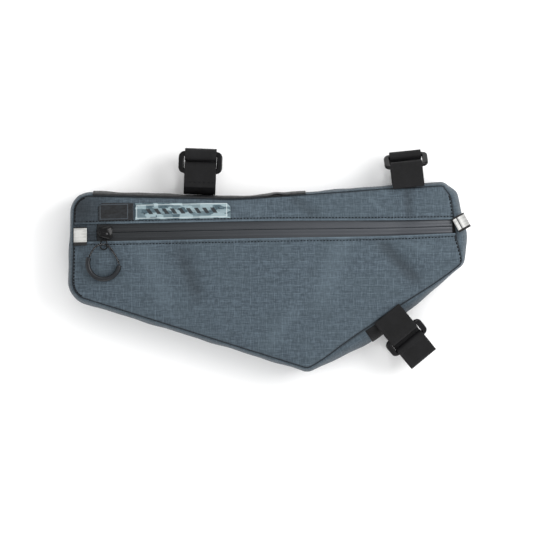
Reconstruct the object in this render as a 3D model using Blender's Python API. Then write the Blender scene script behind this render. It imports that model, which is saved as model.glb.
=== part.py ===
# Bicycle frame bag with three strap loops, lying on its back with its front face up.
# X runs along the bag to its right, Y towards its top edge and Z out of its front face.
# The origin is on the flat back panel, at the middle of the body's length and height.

import math

import bmesh
import bpy
import numpy as np

# Body
BODY_LENGTH = 0.381
BODY_HEIGHT = 0.181
BODY_DEPTH = 0.0605
WALL = 0.0016
GAP = 0.0003            # between neighbouring pieces
FRONT_CROWN = 0.0058    # the front panels swell this far above the front seam
CROWN_REACH = 0.020     # distance over which the swell builds up
SEAM_ROLL = 0.0009      # the fabric dips this far into the seam
ROLL_REACH = 0.0014
SEAM_ALLOWANCE = 0.003
BACK_SEAM_HEIGHT = 0.0045
BACK_SEAM_INSET = 0.0048
BACK_CURVE_REACH = 0.012

# Zip
TAPE_HALF_WIDTH = 0.012
TAPE_THICKNESS = 0.0012
TAPE_END_MARGIN = 0.0022
LIP_RAISE = 0.0005      # folded fabric edges beside the zip
LIP_REACH = 0.003
COVER_THICKNESS = 0.0010
COVER_OVERLAP = 0.010    # the end cover runs this far under the left tab

# Slider, link, cord and grip
PULL_SHARE = 0.097      # share of the body's length at the slider's middle
SLIDER_LENGTH = 0.0150
SLIDER_WIDTH = 0.0125
SLIDER_HEIGHT = 0.0046
LINK_LENGTH = 0.0100
LINK_WIDTH = 0.0072
LINK_BAR = 0.0013
CORD_DIAMETER = 0.0018
GRIP_SHARES = (0.0953, 0.5710)   # of length and height, the middle of the C
GRIP_RADIUS = 0.0149
GRIP_TUBE = 0.0047
GRIP_START = 157.0      # degrees, where the C begins and ends
GRIP_END = 354.0

# Tabs, labels and bands
TAB_WIDTH = 0.0150
LEFT_TAB_WIDTH = 0.0172
LEFT_TAB_DROP = 0.0032  # below the zip's line
TAB_THICKNESS = 0.0012
RIGHT_TAB_ANGLE = 29.0
RIGHT_TAB_REACH = 0.0130
TAB_END = 0.0535        # these are shares of the body's length
COVER_END = 0.078
LABEL_START = 0.0823
LABEL_SPLIT = 0.1709
LABEL_SPLIT_GAP = 0.0016
LABEL_END = 0.4098
LABEL_TOP = 0.8860      # these are shares of the body's height
LABEL_LOW_LEFT = 0.7925
LABEL_LOW_RIGHT = 0.8080
LABEL_THICKNESS = 0.0008
LABEL_CHAMFER = 0.0035
BAND_THICKNESS = 0.0009
BAND_RISE = 0.0006      # the band gapes this far over its strap passage
BAND_TURN = 87.0        # degrees round the wall, from its middle to the band's edges
BAND_DRAW = 27.0        # degrees by which its front edge draws back at the passage
BAND_SHARES = (0.068, 0.501, 0.546, 0.596)   # of length: start, passage start and end, end

# Straps
WEBBING_WIDTH = 0.030
WEBBING_THICKNESS = 0.0015
RING_WIDTH = 0.0416
RING_HEIGHT = 0.0212
RING_BAR = 0.0048
RING_THICKNESS = 0.0036
BAR_TURN = RING_BAR / 2 + WEBBING_THICKNESS / 2 + 0.0004   # radius of webbing round a bar
BASE_WIDTH = 0.040

CORNERS = (
    # name, share of length, share of height, corner radius, front seam inset
    ("top_left", 0.013, 0.948, 0.019, 0.0038),
    ("bottom_left", 0.004, 0.388, 0.021, 0.0048),
    ("tip", 0.601, 0.000, 0.013, 0.0040),
    ("lower_mid", 0.757, 0.150, 0.140, 0.0134),
    ("right_low", 0.989, 0.565, 0.013, 0.0026),
    ("right_mid", 1.000, 0.715, 0.035, 0.0110),
    ("shoulder", 0.9715, 0.946, 0.011, 0.0072),
    ("top_right", 0.939, 1.000, 0.009, 0.0042),
    ("top_kink", 0.776, 0.976, 0.140, 0.0034),
    ("top_sag", 0.421, 0.916, 0.250, 0.0024),
)

ZIP_ROWS = (
    # share of length, share of height of the zip's line, half width of the slot
    (0.00, 0.7275, 0.0080),
    (0.25, 0.7383, 0.0081),
    (0.50, 0.7482, 0.0080),
    (0.83, 0.7566, 0.0071),
    (1.00, 0.7675, 0.0062),
)

DENTS = (
    # share of length, share of height, depth, reach along x, reach along y
    (0.30, 0.590, 0.0016, 0.040, 0.020),
    (0.58, 0.875, 0.0010, 0.030, 0.008),
    (0.83, 0.640, 0.0020, 0.012, 0.030),
    (0.62, 0.300, -0.0012, 0.060, 0.030),
    (0.14, 0.560, -0.0006, 0.030, 0.025),
)

STRAPS = (
    # name, share of length, side, direction, then metres out from the edge to the crest, the ring's
    # middle and the hem; shares of depth of the ring's middle and the hem; ring tilt and carrier
    ("top_left", 0.332, "top", 88.0, 0.0443, 0.0317, 0.0080, 0.760, 0.810, 4.0, "band"),
    ("top_right", 0.851, "top", 96.0, 0.0298, 0.0220, -0.0036, 0.808, 0.975, 55.0, "gusset"),
    ("lower", 0.817, "bottom", -50.5, 0.0438, 0.0173, -0.0122, 0.835, 0.944, 42.0, "base"),
)

FOLDS = {
    # half length of the webbing's fold round each bar and its shift outwards: loop, then holder
    "top_left": (0.0048, -0.0011, 0.0058, 0.0022),
    "top_right": (0.00355, 0.0, 0.00355, 0.0),
    "lower": (0.00355, 0.0, 0.0041, 0.0),
}

LOOP_FOOT = (
    # metres out from the foot, share of depth
    (0.0, 0.438), (0.0, 0.339), (0.0012, 0.215), (0.0055, 0.132),
)
LOOP_BACK = (
    # share of the way out to the inner layer, share of depth
    (0.42, 0.1025), (0.68, 0.1455), (0.89, 0.273), (1.0, 0.446),
)
LOOP_TAIL = (
    # share of the crest drawn in, share of depth
    (0.0, 0.590), (0.0, 0.496), (0.035, 0.372),
)
HIGH_BAR = 0.744        # share of depth above which the loop runs straight up to its bar
HOLDER_FOOT = (
    # metres out from the foot, share of depth
    (0.0002, 0.603), (0.0, 0.479),
)

RIGHT_TAB_ROWS = (
    # share of reach, height over the seam in tab thicknesses
    (0.07, 2.2), (0.22, 2.2), (0.34, 1.4), (0.49, 1.8), (0.75, 0.7), (0.92, -0.7),
    (1.00, -2.0), (0.94, -3.2), (0.82, -2.9), (0.70, -2.0),
)

FABRIC = ("blue_grey_ripstop", (0.090, 0.118, 0.141), 0.85, 0.0)
BLACK_WEBBING = ("black_webbing", (0.021, 0.021, 0.022), 0.80, 0.0)
BLACK_RUBBER_CLOTH = ("black_rubber_coated_cloth", (0.028, 0.029, 0.031), 0.60, 0.0)
COATED_ZIP = ("coated_zip_tape", (0.062, 0.067, 0.074), 0.45, 0.0)
BLACK_PLASTIC = ("black_plastic", (0.012, 0.012, 0.013), 0.30, 0.0)
RUBBER = ("grey_rubber", (0.045, 0.050, 0.056), 0.55, 0.0)
REFLECTIVE = ("reflective_tape", (0.70, 0.70, 0.68), 0.40, 0.0)
LABEL_DARK = ("dark_label_film", (0.030, 0.034, 0.039), 0.45, 0.0)
LABEL_LIGHT = ("pale_label_film", (0.26, 0.33, 0.36), 0.35, 0.0)


def clear_scene():
    for item in list(bpy.data.objects):
        bpy.data.objects.remove(item, do_unlink=True)


def make_material(finish):
    name, colour, roughness, metallic = finish
    material = bpy.data.materials.get(name)
    if material is None:
        material = bpy.data.materials.new(name)
        material.use_nodes = True
        shader = material.node_tree.nodes["Principled BSDF"]
        shader.inputs["Base Color"].default_value = (*colour, 1.0)
        shader.inputs["Roughness"].default_value = roughness
        shader.inputs["Metallic"].default_value = metallic
        material.diffuse_color = (*colour, 1.0)
    return material


def signed_volume(points, faces):
    total = 0.0
    for face in faces:
        for second, third in zip(face[1:-1], face[2:]):
            total += np.dot(points[face[0]], np.cross(points[second], points[third]))
    return total / 6.0


def make_solid(name, points, faces, finish, sharp_angle=40.0):
    points = np.asarray(points, dtype=float)
    if signed_volume(points, faces) < 0.0:
        faces = [tuple(reversed(face)) for face in faces]
    mesh = bpy.data.meshes.new(name)
    mesh.from_pydata(points.tolist(), [], faces)
    mesh.update()
    mesh.shade_smooth()
    mesh.set_sharp_from_angle(angle=math.radians(sharp_angle))
    mesh.materials.append(make_material(finish))
    item = bpy.data.objects.new(name, mesh)
    bpy.context.collection.objects.link(item)
    return item


def sheet_solid(name, top, bottom, finish):
    # A closed sheet from two grids of points, joined round their rim.
    columns, rows = top.shape[:2]
    points = np.concatenate([top.reshape(-1, 3), bottom.reshape(-1, 3)])
    under = columns * rows
    faces = []
    for i in range(columns - 1):
        for j in range(rows - 1):
            corner = i * rows + j
            quad = (corner, corner + rows, corner + rows + 1, corner + 1)
            faces.append(quad)
            faces.append(tuple(under + index for index in reversed(quad)))
    rim = [i * rows for i in range(columns)]
    rim += [(columns - 1) * rows + j for j in range(1, rows)]
    rim += [i * rows + rows - 1 for i in range(columns - 2, -1, -1)]
    rim += [j for j in range(rows - 2, 0, -1)]
    for here, there in zip(rim, rim[1:] + rim[:1]):
        faces.append((there, here, under + here, under + there))
    return make_solid(name, points, faces, finish)


def loft_solid(name, rings, finish, closed=False, sharp_angle=40.0):
    # A solid through a row of closed rings, with flat ends, or joined into a loop.
    count, sides = rings.shape[:2]
    faces = []
    for i in range(count if closed else count - 1):
        here = i * sides
        there = ((i + 1) % count) * sides
        for j in range(sides):
            k = (j + 1) % sides
            faces.append((here + j, there + j, there + k, here + k))
    if not closed:
        faces.append(tuple(range(sides)))
        faces.append(tuple(reversed(range((count - 1) * sides, count * sides))))
    return make_solid(name, rings.reshape(-1, 3), faces, finish, sharp_angle)


def smooth_path(points, steps):
    # A curve that passes through every given point, with some steps between each two.
    points = np.asarray(points, dtype=float)
    moves = np.diff(points, axis=0)
    spans = np.linalg.norm(moves, axis=1)[:, None]
    slopes = moves / spans
    inner = (spans[1:] * slopes[:-1] + spans[:-1] * slopes[1:]) / (spans[:-1] + spans[1:])
    slopes = np.vstack([slopes[:1], inner, slopes[-1:]])
    share = np.linspace(0.0, 1.0, steps, endpoint=False)[:, None]
    path = []
    for i in range(len(spans)):
        path.append(
            (1 + 2 * share) * (1 - share) ** 2 * points[i]
            + share * (1 - share) ** 2 * spans[i] * slopes[i]
            + share ** 2 * (3 - 2 * share) * points[i + 1]
            - share ** 2 * (1 - share) * spans[i] * slopes[i + 1]
        )
    return np.vstack(path + [points[-1:]])


def path_normals(path, closed=False):
    if closed:
        ahead = np.roll(path, -1, axis=0) - np.roll(path, 1, axis=0)
    else:
        ahead = np.gradient(path, axis=0)
    ahead /= np.linalg.norm(ahead, axis=1)[:, None]
    return np.stack([ahead[:, 1], -ahead[:, 0]], axis=1)


def along_body(share):
    return (share - 0.5) * BODY_LENGTH


def up_body(share):
    return (share - 0.5) * BODY_HEIGHT


# Outline of the body, as a closed path that runs anticlockwise

def rounded_outline():
    corners = np.array([(along_body(row[1]), up_body(row[2])) for row in CORNERS])
    path = []
    middles = []
    for i, row in enumerate(CORNERS):
        corner = corners[i]
        inward = corner - corners[i - 1]
        outward = corners[(i + 1) % len(corners)] - corner
        inward /= np.linalg.norm(inward)
        outward /= np.linalg.norm(outward)
        turn = math.atan2(inward[0] * outward[1] - inward[1] * outward[0], np.dot(inward, outward))
        reach = row[3] * math.tan(abs(turn) / 2)
        start = corner - inward * reach
        side = np.array([-inward[1], inward[0]]) * math.copysign(row[3], turn)
        centre = start + side
        steps = 12
        angles = np.linspace(0.0, turn, steps + 1)
        middles.append(sum(len(arc) for arc in path) + steps // 2)
        arc = [
            centre - np.array([
                side[0] * math.cos(a) - side[1] * math.sin(a),
                side[0] * math.sin(a) + side[1] * math.cos(a),
            ])
            for a in angles
        ]
        path.append(np.array(arc))
    path = np.vstack(path)
    closed = np.vstack([path, path[:1]])
    lengths = np.concatenate([[0.0], np.cumsum(np.linalg.norm(np.diff(closed, axis=0), axis=1))])
    return closed, lengths, {CORNERS[i][0]: lengths[middles[i]] for i in range(len(CORNERS))}


class Outline:
    def __init__(self):
        self.path, self.lengths, self.corner_at = rounded_outline()
        self.around = self.lengths[-1]
        starts = [self.corner_at[row[0]] for row in CORNERS]
        insets = [row[4] for row in CORNERS]
        self.starts = np.array([starts[-1] - self.around] + starts + [starts[0] + self.around])
        self.insets = np.array([insets[-1]] + insets + [insets[0]])
        self.fine = np.linspace(0.0, self.around, 1200, endpoint=False)
        self.front_seam = self.seam_point(self.fine)
        self.back_seam = self.seam_point(self.fine, back=True)

    def point(self, place):
        place = np.mod(place, self.around)
        x = np.interp(place, self.lengths, self.path[:, 0])
        y = np.interp(place, self.lengths, self.path[:, 1])
        return np.stack([x, y], axis=-1)

    def normal(self, place):
        step = 0.0012
        ahead = self.point(place + step) - self.point(place - step)
        ahead /= np.linalg.norm(ahead, axis=-1)[..., None]
        return np.stack([ahead[..., 1], -ahead[..., 0]], axis=-1)

    def inset(self, place, back=False):
        place = np.mod(place, self.around)
        if back:
            return np.full_like(place, BACK_SEAM_INSET)
        index = np.clip(np.searchsorted(self.starts, place, side="right") - 1, 0, len(self.starts) - 2)
        share = (place - self.starts[index]) / (self.starts[index + 1] - self.starts[index])
        ease = (1.0 - np.cos(math.pi * share)) / 2
        return self.insets[index] + (self.insets[index + 1] - self.insets[index]) * ease

    def seam_point(self, place, back=False, outward=0.0):
        place = np.asarray(place, dtype=float)
        return self.point(place) + self.normal(place) * (outward - self.inset(place, back))[..., None]

    def top_at(self, x):
        # Distance along the outline where its top edge passes this x.
        start = self.corner_at["top_right"]
        places = np.linspace(start, self.around + self.corner_at["top_left"], 600)
        return float(np.interp(-x, -self.point(places)[:, 0], places))

    def bottom_at(self, x):
        places = np.linspace(self.corner_at["tip"], self.corner_at["right_low"], 600)
        return float(np.interp(x, self.point(places)[:, 0], places))


def distance_to(seam, spots):
    flat = spots.reshape(-1, 2)
    away = np.linalg.norm(flat[:, None, :] - seam[None, :, :], axis=2).min(axis=1)
    return away.reshape(spots.shape[:-1])


# Zip line and the front surface

def zip_line(x):
    rows = np.array(ZIP_ROWS)
    path = smooth_path(np.stack([along_body(rows[:, 0]), up_body(rows[:, 1]), rows[:, 2]], axis=1), 12)
    return np.interp(x, path[:, 0], path[:, 1]), np.interp(x, path[:, 0], path[:, 2])


def front_height(outline, spots):
    # Seam height, plus the roll out of the seam, plus the swell of the panel, less the dents.
    away = distance_to(outline.front_seam, spots)
    height = BODY_DEPTH - FRONT_CROWN - SEAM_ROLL
    height = height + SEAM_ROLL * (1.0 - np.exp(-away / ROLL_REACH))
    height = height + FRONT_CROWN * (1.0 - np.exp(-away / CROWN_REACH))
    fade = 1.0 - np.exp(-away / CROWN_REACH)
    for share_x, share_y, depth, reach_x, reach_y in DENTS:
        across = (spots[..., 0] - along_body(share_x)) / reach_x
        up = (spots[..., 1] - up_body(share_y)) / reach_y
        height = height - depth * fade * np.exp(-(across ** 2) - up ** 2)
    return height


def lip_height(spots):
    middle, half = zip_line(spots[..., 0])
    away = np.abs(np.abs(spots[..., 1] - middle) - half)
    return LIP_RAISE * np.exp(-((away / LIP_REACH) ** 2))


def lifted(spots, height):
    return np.concatenate([spots, height[..., None]], axis=-1)


def panel_steps(length, count):
    # Shares from 0 to 1, close together near both ends.
    near = np.array([0.0, 0.0010, 0.0026, 0.0060]) / length
    middle = np.linspace(near[-1], 1.0 - near[-1], count)
    return np.concatenate([near[:-1], middle, 1.0 - near[-2::-1]])


def filled_patch(low, high, left, right, shares, rises):
    # Points between four joined edges, each row blended from all of them.
    u = shares[:, None, None]
    v = rises[None, :, None]
    flat = (1 - v) * low[:, None] + v * high[:, None] + (1 - u) * left[None] + u * right[None]
    ends = (1 - u) * (1 - v) * low[0] + u * (1 - v) * low[-1] + (1 - u) * v * high[0] + u * v * high[-1]
    return flat - ends


def seam_crossing(outline, edge, left):
    # Distance along the outline where the front seam meets an edge of the zip.
    middle, half = zip_line(outline.front_seam[:, 0])
    side = outline.front_seam[:, 0] < 0.0
    away = np.abs(outline.front_seam[:, 1] - (middle + edge * half))
    away = np.where(side == left, away, 1.0)
    return outline.fine[np.argmin(away)]


def zip_edge(outline, start, end, edge, shares):
    first = outline.seam_point(start, outward=-GAP / 2)
    last = outline.seam_point(end, outward=-GAP / 2)
    x = first[0] + (last[0] - first[0]) * shares
    middle, half = zip_line(x)
    y = middle + edge * half
    y = y + (first[1] - y[0]) * (1 - shares) + (last[1] - y[-1]) * shares
    return np.stack([x, y], axis=-1)


def front_panel(outline, name, edge, left_corner, right_corner, columns, rows):
    left_at = seam_crossing(outline, edge, True)
    right_at = seam_crossing(outline, edge, False)
    around = outline.around
    if edge > 0:
        far_left = outline.corner_at[left_corner] + around
        far_right = outline.corner_at[right_corner]
        left_at += around
    else:
        far_left = outline.corner_at[left_corner]
        far_right = outline.corner_at[right_corner]
    shares = panel_steps(abs(right_at - far_left) if edge < 0 else 0.9 * BODY_LENGTH, columns)
    rises = panel_steps(0.28 * BODY_HEIGHT, rows)
    inward = -GAP / 2
    near = zip_edge(outline, left_at, right_at, edge, shares)
    far = outline.seam_point(far_left + (far_right - far_left) * shares, outward=inward)
    left = outline.seam_point(left_at + (far_left - left_at) * rises, outward=inward)
    right = outline.seam_point(right_at + (far_right - right_at) * rises, outward=inward)
    spots = filled_patch(near, far, left, right, shares, rises)
    height = front_height(outline, spots) + lip_height(spots)
    return sheet_solid(name, lifted(spots, height), lifted(spots, height - WALL), FABRIC)


def back_panel(outline):
    left_low = outline.corner_at["bottom_left"]
    right_low = outline.corner_at["right_low"]
    left_high = outline.corner_at["top_left"] + outline.around
    right_high = outline.corner_at["top_right"]
    shares = panel_steps(BODY_LENGTH, 18)
    rises = panel_steps(0.6 * BODY_HEIGHT, 7)

    def edge(start, end, steps):
        return outline.seam_point(start + (end - start) * steps, back=True, outward=-GAP / 2)

    low = edge(left_low, right_low, shares)
    high = edge(left_high, right_high, shares)
    left = edge(left_low + outline.around, left_high, rises)
    right = edge(right_low, right_high, rises)
    spots = filled_patch(low, high, left, right, shares, rises)
    away = np.clip(distance_to(outline.back_seam, spots) / BACK_CURVE_REACH, 0.0, 1.0)
    height = BACK_SEAM_HEIGHT * (1.0 - away) ** 3
    panel = sheet_solid("back_panel", lifted(spots, height + WALL), lifted(spots, height), FABRIC)
    join_flat_faces(panel)
    return panel


def join_flat_faces(item):
    # The flat middle becomes one face on each side.
    work = bmesh.new()
    work.from_mesh(item.data)
    bmesh.ops.dissolve_limit(work, angle_limit=1e-5, verts=work.verts, edges=work.edges)
    work.to_mesh(item.data)
    work.free()


# Gusset

def shoulder_depths():
    return BODY_DEPTH - FRONT_CROWN, BACK_SEAM_HEIGHT


def gusset_surface(outline, place, turn, lift):
    # Point on the bulging wall: turn 0 is its middle, 90 the front seam and -90 the back seam.
    front, back = shoulder_depths()
    middle = (front + back) / 2
    lip = GAP / 2
    inset = np.where(turn >= 0, outline.inset(place), outline.inset(place, back=True)) - lip
    half_depth = (front - back) / 2
    angle = np.radians(turn)
    out = inset * (np.cos(angle) - 1.0)
    depth = middle + half_depth * np.sin(angle)
    steep = np.stack([np.cos(angle) / inset, np.sin(angle) / half_depth], axis=-1)
    steep /= np.linalg.norm(steep, axis=-1)[..., None]
    out = out + lift * steep[..., 0]
    depth = depth + lift * steep[..., 1]
    spots = outline.point(place) + outline.normal(place) * out[..., None]
    return lifted(spots, depth)


def gusset_ring(outline, place):
    front, back = shoulder_depths()
    middle = (front + back) / 2
    angles = np.radians(np.array([90, 84, 74, 58, 38, 0, -38, -58, -74, -84, -90]))
    inner_angles = np.radians(np.array([-90, -66, -36, 0, 36, 66, 90]))
    lip = GAP / 2
    inset_front = outline.inset(place) - lip
    inset_back = outline.inset(place, back=True) - lip
    profile = []
    for angle in angles:
        inset = inset_front if angle >= 0 else inset_back
        drop = SEAM_ROLL * (abs(math.sin(angle)) ** 40)
        rise = (front - back) / 2 - drop
        profile.append((inset * (math.cos(angle) - 1.0), middle + rise * math.sin(angle)))
    for angle in inner_angles:
        inset = inset_front if angle >= 0 else inset_back
        rise = (front - back) / 2 - SEAM_ALLOWANCE
        profile.append((-inset + (inset - WALL) * math.cos(angle), middle + rise * math.sin(angle)))
    profile = np.array(profile)
    spots = outline.point(place) + outline.normal(place) * profile[:, :1]
    return lifted(spots, profile[:, 1])


def places_between(outline, start, end, spacing):
    # Stations along the outline: close together round the corners, far apart on the straights.
    fine = np.linspace(start, end, 400)
    normal = outline.normal(fine)
    turning = np.linalg.norm(np.diff(normal, axis=0), axis=1)
    length = (end - start) / 399
    effort = np.concatenate([[0.0], np.cumsum(length / spacing + turning / math.radians(13))])
    count = int(math.ceil(effort[-1])) + 1
    return np.interp(np.linspace(0.0, effort[-1], count), effort, fine)


def gusset(outline, name, start, end):
    places = places_between(outline, start, end, 0.020)
    rings = np.array([gusset_ring(outline, place) for place in places])
    return loft_solid(name, rings, FABRIC)


def wall_strip(outline, name, places, turns, lifts, thickness, finish):
    # A strip that lies on the bulging wall, with a lift for each place.
    place = np.repeat(places[:, None], turns.shape[-1], axis=1)
    turn = np.broadcast_to(turns, place.shape)
    under = gusset_surface(outline, place, turn, lifts)
    over = gusset_surface(outline, place, turn, lifts + thickness)
    return sheet_solid(name, over, under, finish)


def top_band(outline):
    end, passage_end, passage_start, start = [outline.top_at(along_body(share)) for share in BAND_SHARES]
    places = np.concatenate([
        np.linspace(start, passage_start, 3),
        np.linspace(passage_start, passage_end, 9)[1:],
        np.linspace(passage_end, end, 11)[1:],
    ])
    share = np.clip((places - passage_start) / (passage_end - passage_start), 0.0, 1.0)
    open_share = np.sin(math.pi * share) ** 2
    front_turn = BAND_TURN - BAND_DRAW * open_share
    steps = np.array([1.0, 0.80, 0.55, 0.30, 0.0])
    back_turns = np.broadcast_to(-BAND_TURN * steps[3::-1], (len(places), 4))
    turns = np.concatenate([front_turn[:, None] * steps, back_turns], axis=1)
    lifts = np.repeat((GAP + BAND_RISE * open_share)[:, None], turns.shape[1], axis=1)
    return wall_strip(outline, "top_band", places, turns, lifts, BAND_THICKNESS, BLACK_RUBBER_CLOTH)


# Zip, end cover, label and tabs: thin sheets on the front

def front_sheet(name, outline, x, low, high, rows, lift, thickness, finish, lip=True):
    share = np.linspace(0.0, 1.0, rows)
    y = low[:, None] + (high - low)[:, None] * share
    spots = np.stack([np.repeat(x[:, None], rows, axis=1), y], axis=-1)
    height = front_height(outline, spots) + lift
    if lip:
        height = height + LIP_RAISE
    return sheet_solid(name, lifted(spots, height + thickness), lifted(spots, height), finish)


def seam_x(outline, left):
    return outline.seam_point(seam_crossing(outline, 0.0, left))[0]


def zip_tape(outline, name, side):
    start = seam_x(outline, True) + TAPE_END_MARGIN
    end = seam_x(outline, False) - TAPE_END_MARGIN
    x = np.linspace(start, end, 34)
    middle = zip_line(x)[0]
    near = middle + side * GAP / 2
    far = middle + side * TAPE_HALF_WIDTH
    low, high = (near, far) if side > 0 else (far, near)
    drop = -(WALL + GAP + TAPE_THICKNESS)
    return front_sheet(name, outline, x, low, high, 3, drop, TAPE_THICKNESS, COATED_ZIP, lip=False)


def zip_trim(outline):
    tab_start = seam_x(outline, True) + GAP
    tab_end = along_body(TAB_END)
    x = np.linspace(tab_start, tab_end, 7)
    middle = zip_line(x)[0] - LEFT_TAB_DROP
    half = LEFT_TAB_WIDTH / 2
    front_sheet("left_tab", outline, x, middle - half, middle + half, 6, GAP, TAB_THICKNESS, REFLECTIVE)
    cover_end = along_body(COVER_END)
    x = np.linspace(tab_end - COVER_OVERLAP, cover_end, 5)
    middle = zip_line(x)[0]
    half = zip_line(np.array([cover_end]))[1][0] - GAP
    front_sheet(
        "zip_end_cover", outline, x, middle - half, middle + half, 5,
        -WALL, COVER_THICKNESS, FABRIC, lip=False,
    )


def label(outline, name, start, end, chamfers, finish):
    # chamfers: which ends have a cut upper corner
    x = np.unique(np.concatenate([np.linspace(start, end, 7), [start + LABEL_CHAMFER, end - LABEL_CHAMFER]]))
    ends = along_body(np.array([LABEL_START, LABEL_END]))
    low = np.interp(x, ends, up_body(np.array([LABEL_LOW_LEFT, LABEL_LOW_RIGHT])))
    high = np.full_like(x, up_body(LABEL_TOP))
    if "start" in chamfers:
        high -= np.clip(LABEL_CHAMFER - (x - start), 0.0, None)
    if "end" in chamfers:
        high -= np.clip(LABEL_CHAMFER - (end - x), 0.0, None)
    return front_sheet(name, outline, x, low, high, 4, GAP, LABEL_THICKNESS, finish)


def ribbon(name, frame, path, width, thickness, finish):
    # A flat strap: a path of distances outward and heights, carried across its width.
    base, out = frame
    across = np.array([out[1], -out[0]])
    normal = path_normals(path)
    sides = [path + normal * thickness / 2, path - normal * thickness / 2]
    rings = []
    for over, under in zip(*sides):
        ring = []
        for point, where in ((over, -1), (over, 1), (under, 1), (under, -1)):
            spot = base + out * point[0] + across * where * width / 2
            ring.append((spot[0], spot[1], point[1]))
        rings.append(ring)
    return loft_solid(name, np.array(rings), finish)


def right_tab(outline):
    x = seam_x(outline, False)
    y = float(zip_line(np.array([x]))[0][0])
    angle = math.radians(RIGHT_TAB_ANGLE)
    out = np.array([math.cos(angle), math.sin(angle)])
    height = shoulder_depths()[0]
    rows = np.array(RIGHT_TAB_ROWS)
    path = np.stack([rows[:, 0] * RIGHT_TAB_REACH, height + rows[:, 1] * TAB_THICKNESS], axis=1)
    path = smooth_path(path, 2)
    return ribbon("right_tab", (np.array([x, y]), out), path, TAB_WIDTH, TAB_THICKNESS, REFLECTIVE)


# Slider, link, cord and grip

def pull_place(outline):
    x = along_body(PULL_SHARE)
    y = float(zip_line(np.array([x]))[0][0])
    return x, y


def tube_rings(path, radius_across, radius_up, sides, closed):
    # Rings of points round a path in space, kept upright.
    if closed:
        ahead = np.roll(path, -1, axis=0) - np.roll(path, 1, axis=0)
    else:
        ahead = np.gradient(path, axis=0)
    ahead /= np.linalg.norm(ahead, axis=1)[:, None]
    across = np.cross(ahead, np.array([0.0, 0.0, 1.0]))
    across /= np.linalg.norm(across, axis=1)[:, None]
    up = np.cross(across, ahead)
    turns = (np.arange(sides) + 0.5) * 2 * math.pi / sides
    wide = radius_across * np.cos(turns) / math.cos(math.pi / sides)
    tall = radius_up * np.sin(turns) / math.cos(math.pi / sides)
    return path[:, None] + across[:, None] * wide[None, :, None] + up[:, None] * tall[None, :, None]


def rounded_rectangle(width, height, radius, steps):
    spots = []
    for i, (side_x, side_y) in enumerate(((1, 1), (-1, 1), (-1, -1), (1, -1))):
        for angle in np.linspace(i * math.pi / 2, (i + 1) * math.pi / 2, steps):
            spots.append((
                side_x * (width / 2 - radius) + radius * math.cos(angle),
                side_y * (height / 2 - radius) + radius * math.sin(angle),
            ))
    return np.array(spots)


def slider(outline):
    x, y = pull_place(outline)
    spot = np.array([[x, y]])
    floor = float(front_height(outline, spot)[0]) - WALL + COVER_THICKNESS + 3 * GAP
    rows = (
        # share of length from the pointed end, share of width, share of height
        (0.00, 0.20, 0.45), (0.12, 0.50, 0.75), (0.30, 0.82, 1.00), (0.62, 1.00, 0.92), (0.88, 1.00, 0.70),
        (1.00, 0.80, 0.50),
    )
    rings = []
    for share, wide, tall in rows:
        half = SLIDER_WIDTH / 2 * wide
        top = floor + SLIDER_HEIGHT * tall
        here = x + (share - 0.5) * SLIDER_LENGTH
        shoulder = floor + SLIDER_HEIGHT * tall * 0.6
        rings.append([
            (here, y - half, floor), (here, y - half, shoulder), (here, y - half * 0.5, top),
            (here, y + half * 0.5, top), (here, y + half, shoulder), (here, y + half, floor),
        ])
    return loft_solid("zip_slider", np.array(rings), BLACK_PLASTIC)


def pull_centre():
    return along_body(GRIP_SHARES[0]), up_body(GRIP_SHARES[1])


def grip_path(outline, steps):
    x, y = pull_centre()
    angles = np.radians(np.linspace(GRIP_START, GRIP_END, steps))
    spots = np.stack([x + GRIP_RADIUS * np.cos(angles), y + GRIP_RADIUS * np.sin(angles)], axis=-1)
    height = front_height(outline, spots).max() + LIP_RAISE + GAP + GRIP_TUBE / 2
    return lifted(spots, np.full(len(spots), height))


def pull_link(outline):
    # A flat oval loop that hangs from the slider's edge over the lower lip.
    x, y = pull_place(outline)
    centre = np.array([x - 0.0005, y - SLIDER_WIDTH / 2 - LINK_LENGTH / 2 - GAP])
    flat = rounded_rectangle(LINK_WIDTH - LINK_BAR, LINK_LENGTH - LINK_BAR, 0.0024, 5) + centre
    height = link_height(outline)
    rings = tube_rings(lifted(flat, np.full(len(flat), height)), LINK_BAR / 2, LINK_BAR / 2, 6, True)
    return loft_solid("pull_tab", rings, BLACK_PLASTIC, closed=True)


def link_height(outline):
    x, y = pull_place(outline)
    under = float(front_height(outline, np.array([[x, y - 0.014]]))[0]) + LIP_RAISE
    return under + 3 * GAP + CORD_DIAMETER + LINK_BAR / 2


CORD_POINTS = (
    # share of length, share of height, height over the link's middle, in metres
    (0.0640, 0.6240, -0.0002),
    (0.0700, 0.6450, 0.0010),
    (0.0765, 0.6590, 0.0021),
    (0.0855, 0.6680, 0.0025),
    (0.0957, 0.6700, 0.0000),
    (0.1057, 0.6640, -0.0024),
    (0.1133, 0.6470, -0.0023),
    (0.1208, 0.6240, -0.0014),
    (0.1285, 0.5940, -0.0008),
)


def grip_ends(outline):
    # Where the cord meets the two ends of the grip, with room for its slanted end faces.
    path = grip_path(outline, 60)
    room = GAP + 0.15 * CORD_DIAMETER
    first = path[0] + (path[0] - path[1]) / np.linalg.norm(path[0] - path[1]) * room
    last = path[-1] + (path[-1] - path[-2]) / np.linalg.norm(path[-1] - path[-2]) * room
    return first, last


def cord_route(outline):
    height = link_height(outline)
    first, last = grip_ends(outline)
    middle = [(along_body(row[0]), up_body(row[1]), height + row[2]) for row in CORD_POINTS]
    return smooth_path([first] + middle + [last], 8)


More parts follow.
